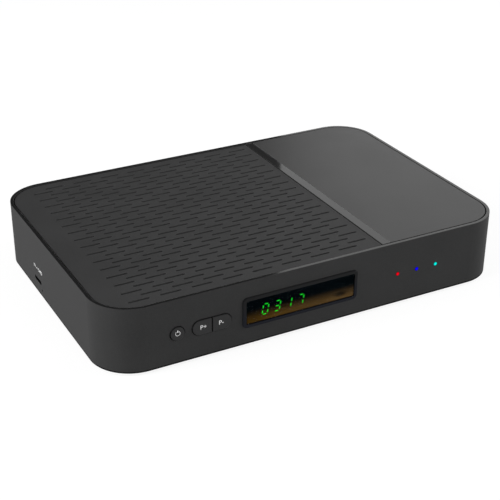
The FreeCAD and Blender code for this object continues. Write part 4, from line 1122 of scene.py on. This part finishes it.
def floor_material():
    """White floor that keeps the shadow from above and lets light and sight through from below."""
    look = Look("floor_white")
    paper = look.add("ShaderNodeBsdfDiffuse")
    look.feed(paper, "Color", look.mottled(look.noise(3.0), FLOOR_GREY, 0.02))
    glow = look.add("ShaderNodeEmission")
    look.feed(glow, "Strength", look.spread(look.away((0, 0, 0)), *FLOOR_FADE, FLOOR_GLOW, 1.0))
    both = look.add("ShaderNodeAddShader")
    look.feed(both, 0, paper.outputs[0])
    look.feed(both, 1, glow.outputs[0])
    plain = look.add("ShaderNodeBsdfDiffuse")
    look.feed(plain, "Color", (0.8, 0.8, 0.8, 1))
    seen = look.joined(shown_rays(look), plain.outputs[0], both.outputs[0])
    below = look.add("ShaderNodeNewGeometry").outputs["Backfacing"]
    gap = look.math("MAXIMUM", below, look.add("ShaderNodeLightPath").outputs["Is Shadow Ray"])
    return look.done(look.joined(gap, seen, look.add("ShaderNodeBsdfTransparent").outputs[0]))


FLOOR_HALF = 6.0
floor_corners = [(FLOOR_HALF * x, FLOOR_HALF * y, 0) for x, y in ((-1, -1), (1, -1), (1, 1), (-1, 1))]
floor = stage_plane("floor", floor_corners, floor_material())

WORLD_FILL = 0.258
studio = Look("studio", for_world=True)
world_light = studio.add("ShaderNodeBackground")
studio.feed(world_light, "Color", (1, 1, 1, 1))
studio.feed(world_light, "Strength", studio.spread(shown_rays(studio), 0, 1, WORLD_FILL, 1.0))
bpy.context.scene.world = studio.done(world_light.outputs[0])

LAMP_AIM = Vector((0, 0, 0.017))


def softbox(name, spot, size, radiance):
    """Area lamp of this radiance that faces the part and is seen neither by the camera nor in mirrors."""
    lamp = bpy.data.lights.new(name, "AREA")
    lamp.shape = "RECTANGLE"
    lamp.size, lamp.size_y = size
    lamp.energy = radiance * pi * size[0] * size[1]
    holder = bpy.data.objects.new(name, lamp)
    holder.location = spot
    holder.rotation_mode = "QUATERNION"
    holder.rotation_quaternion = (LAMP_AIM - Vector(spot)).to_track_quat("-Z", "Y")
    holder.visible_camera = False
    holder.visible_glossy = False
    bpy.context.scene.collection.objects.link(holder)


softbox("left_box", (-1.09, 0.10, 0.47), (1.0, 0.8), 6.3)
softbox("front_fill", (-0.1, -1.2, 0.40), (1.2, 0.5), 1.46)
softbox("right_box", (1.03, -0.37, 0.42), (0.8, 0.6), 6.93)
softbox("under_fill", (0.0, 0.0, -0.7), (1.0, 1.0), 0.85)

# Place, turns about X, Y and Z in degrees, and lens, fitted to the outlines in the photograph
CAMERA_SPOT = Vector((-0.259328, -0.491540, 0.295697))
CAMERA_TURNS = (62.3777, -0.2998, -28.0347)
CAMERA_LENS = 84.274
camera_data = bpy.data.cameras.new("camera")
camera_data.lens = CAMERA_LENS
camera_data.sensor_width = 36.0
camera_data.clip_start = 0.01
camera_data.clip_end = 100.0
camera = bpy.data.objects.new("camera", camera_data)
bpy.context.scene.collection.objects.link(camera)
camera_turn = Euler([radians(turn) for turn in CAMERA_TURNS]).to_matrix().to_4x4()
camera.matrix_world = Matrix.Translation(CAMERA_SPOT) @ camera_turn
bpy.context.scene.camera = camera

# The flag is what the polished top mirrors on its left. It ends in an upright plane through the camera, at
# this azimuth in degrees.
FLAG_AZIMUTH = 29.79
FLAG_REACH = 1.75
FLAG_WIDTH = 1.5
FLAG_HEIGHTS = (0.06, 1.5)
cloth_look = Look("flag_cloth_black")
cloth = cloth_look.add("ShaderNodeBsdfDiffuse")
cloth_look.feed(cloth, "Color", cloth_look.blend(cloth_look.noise(400.0), (0.010,) * 3, (0.016,) * 3))
along = Vector((sin(radians(FLAG_AZIMUTH)), cos(radians(FLAG_AZIMUTH)), 0))
near = Vector((CAMERA_SPOT.x, CAMERA_SPOT.y, 0)) + along * FLAG_REACH
far = near + Vector((-along.y, along.x, 0)) * FLAG_WIDTH
foot, head = FLAG_HEIGHTS
flag_corners = [(near.x, near.y, foot), (far.x, far.y, foot), (far.x, far.y, head), (near.x, near.y, head)]
flag = stage_plane("flag", flag_corners, cloth_look.done(cloth.outputs[0]))
flag.visible_camera = False
flag.visible_diffuse = False
flag.visible_shadow = False
flag.visible_transmission = False

bpy.context.scene.view_settings.view_transform = "Standard"
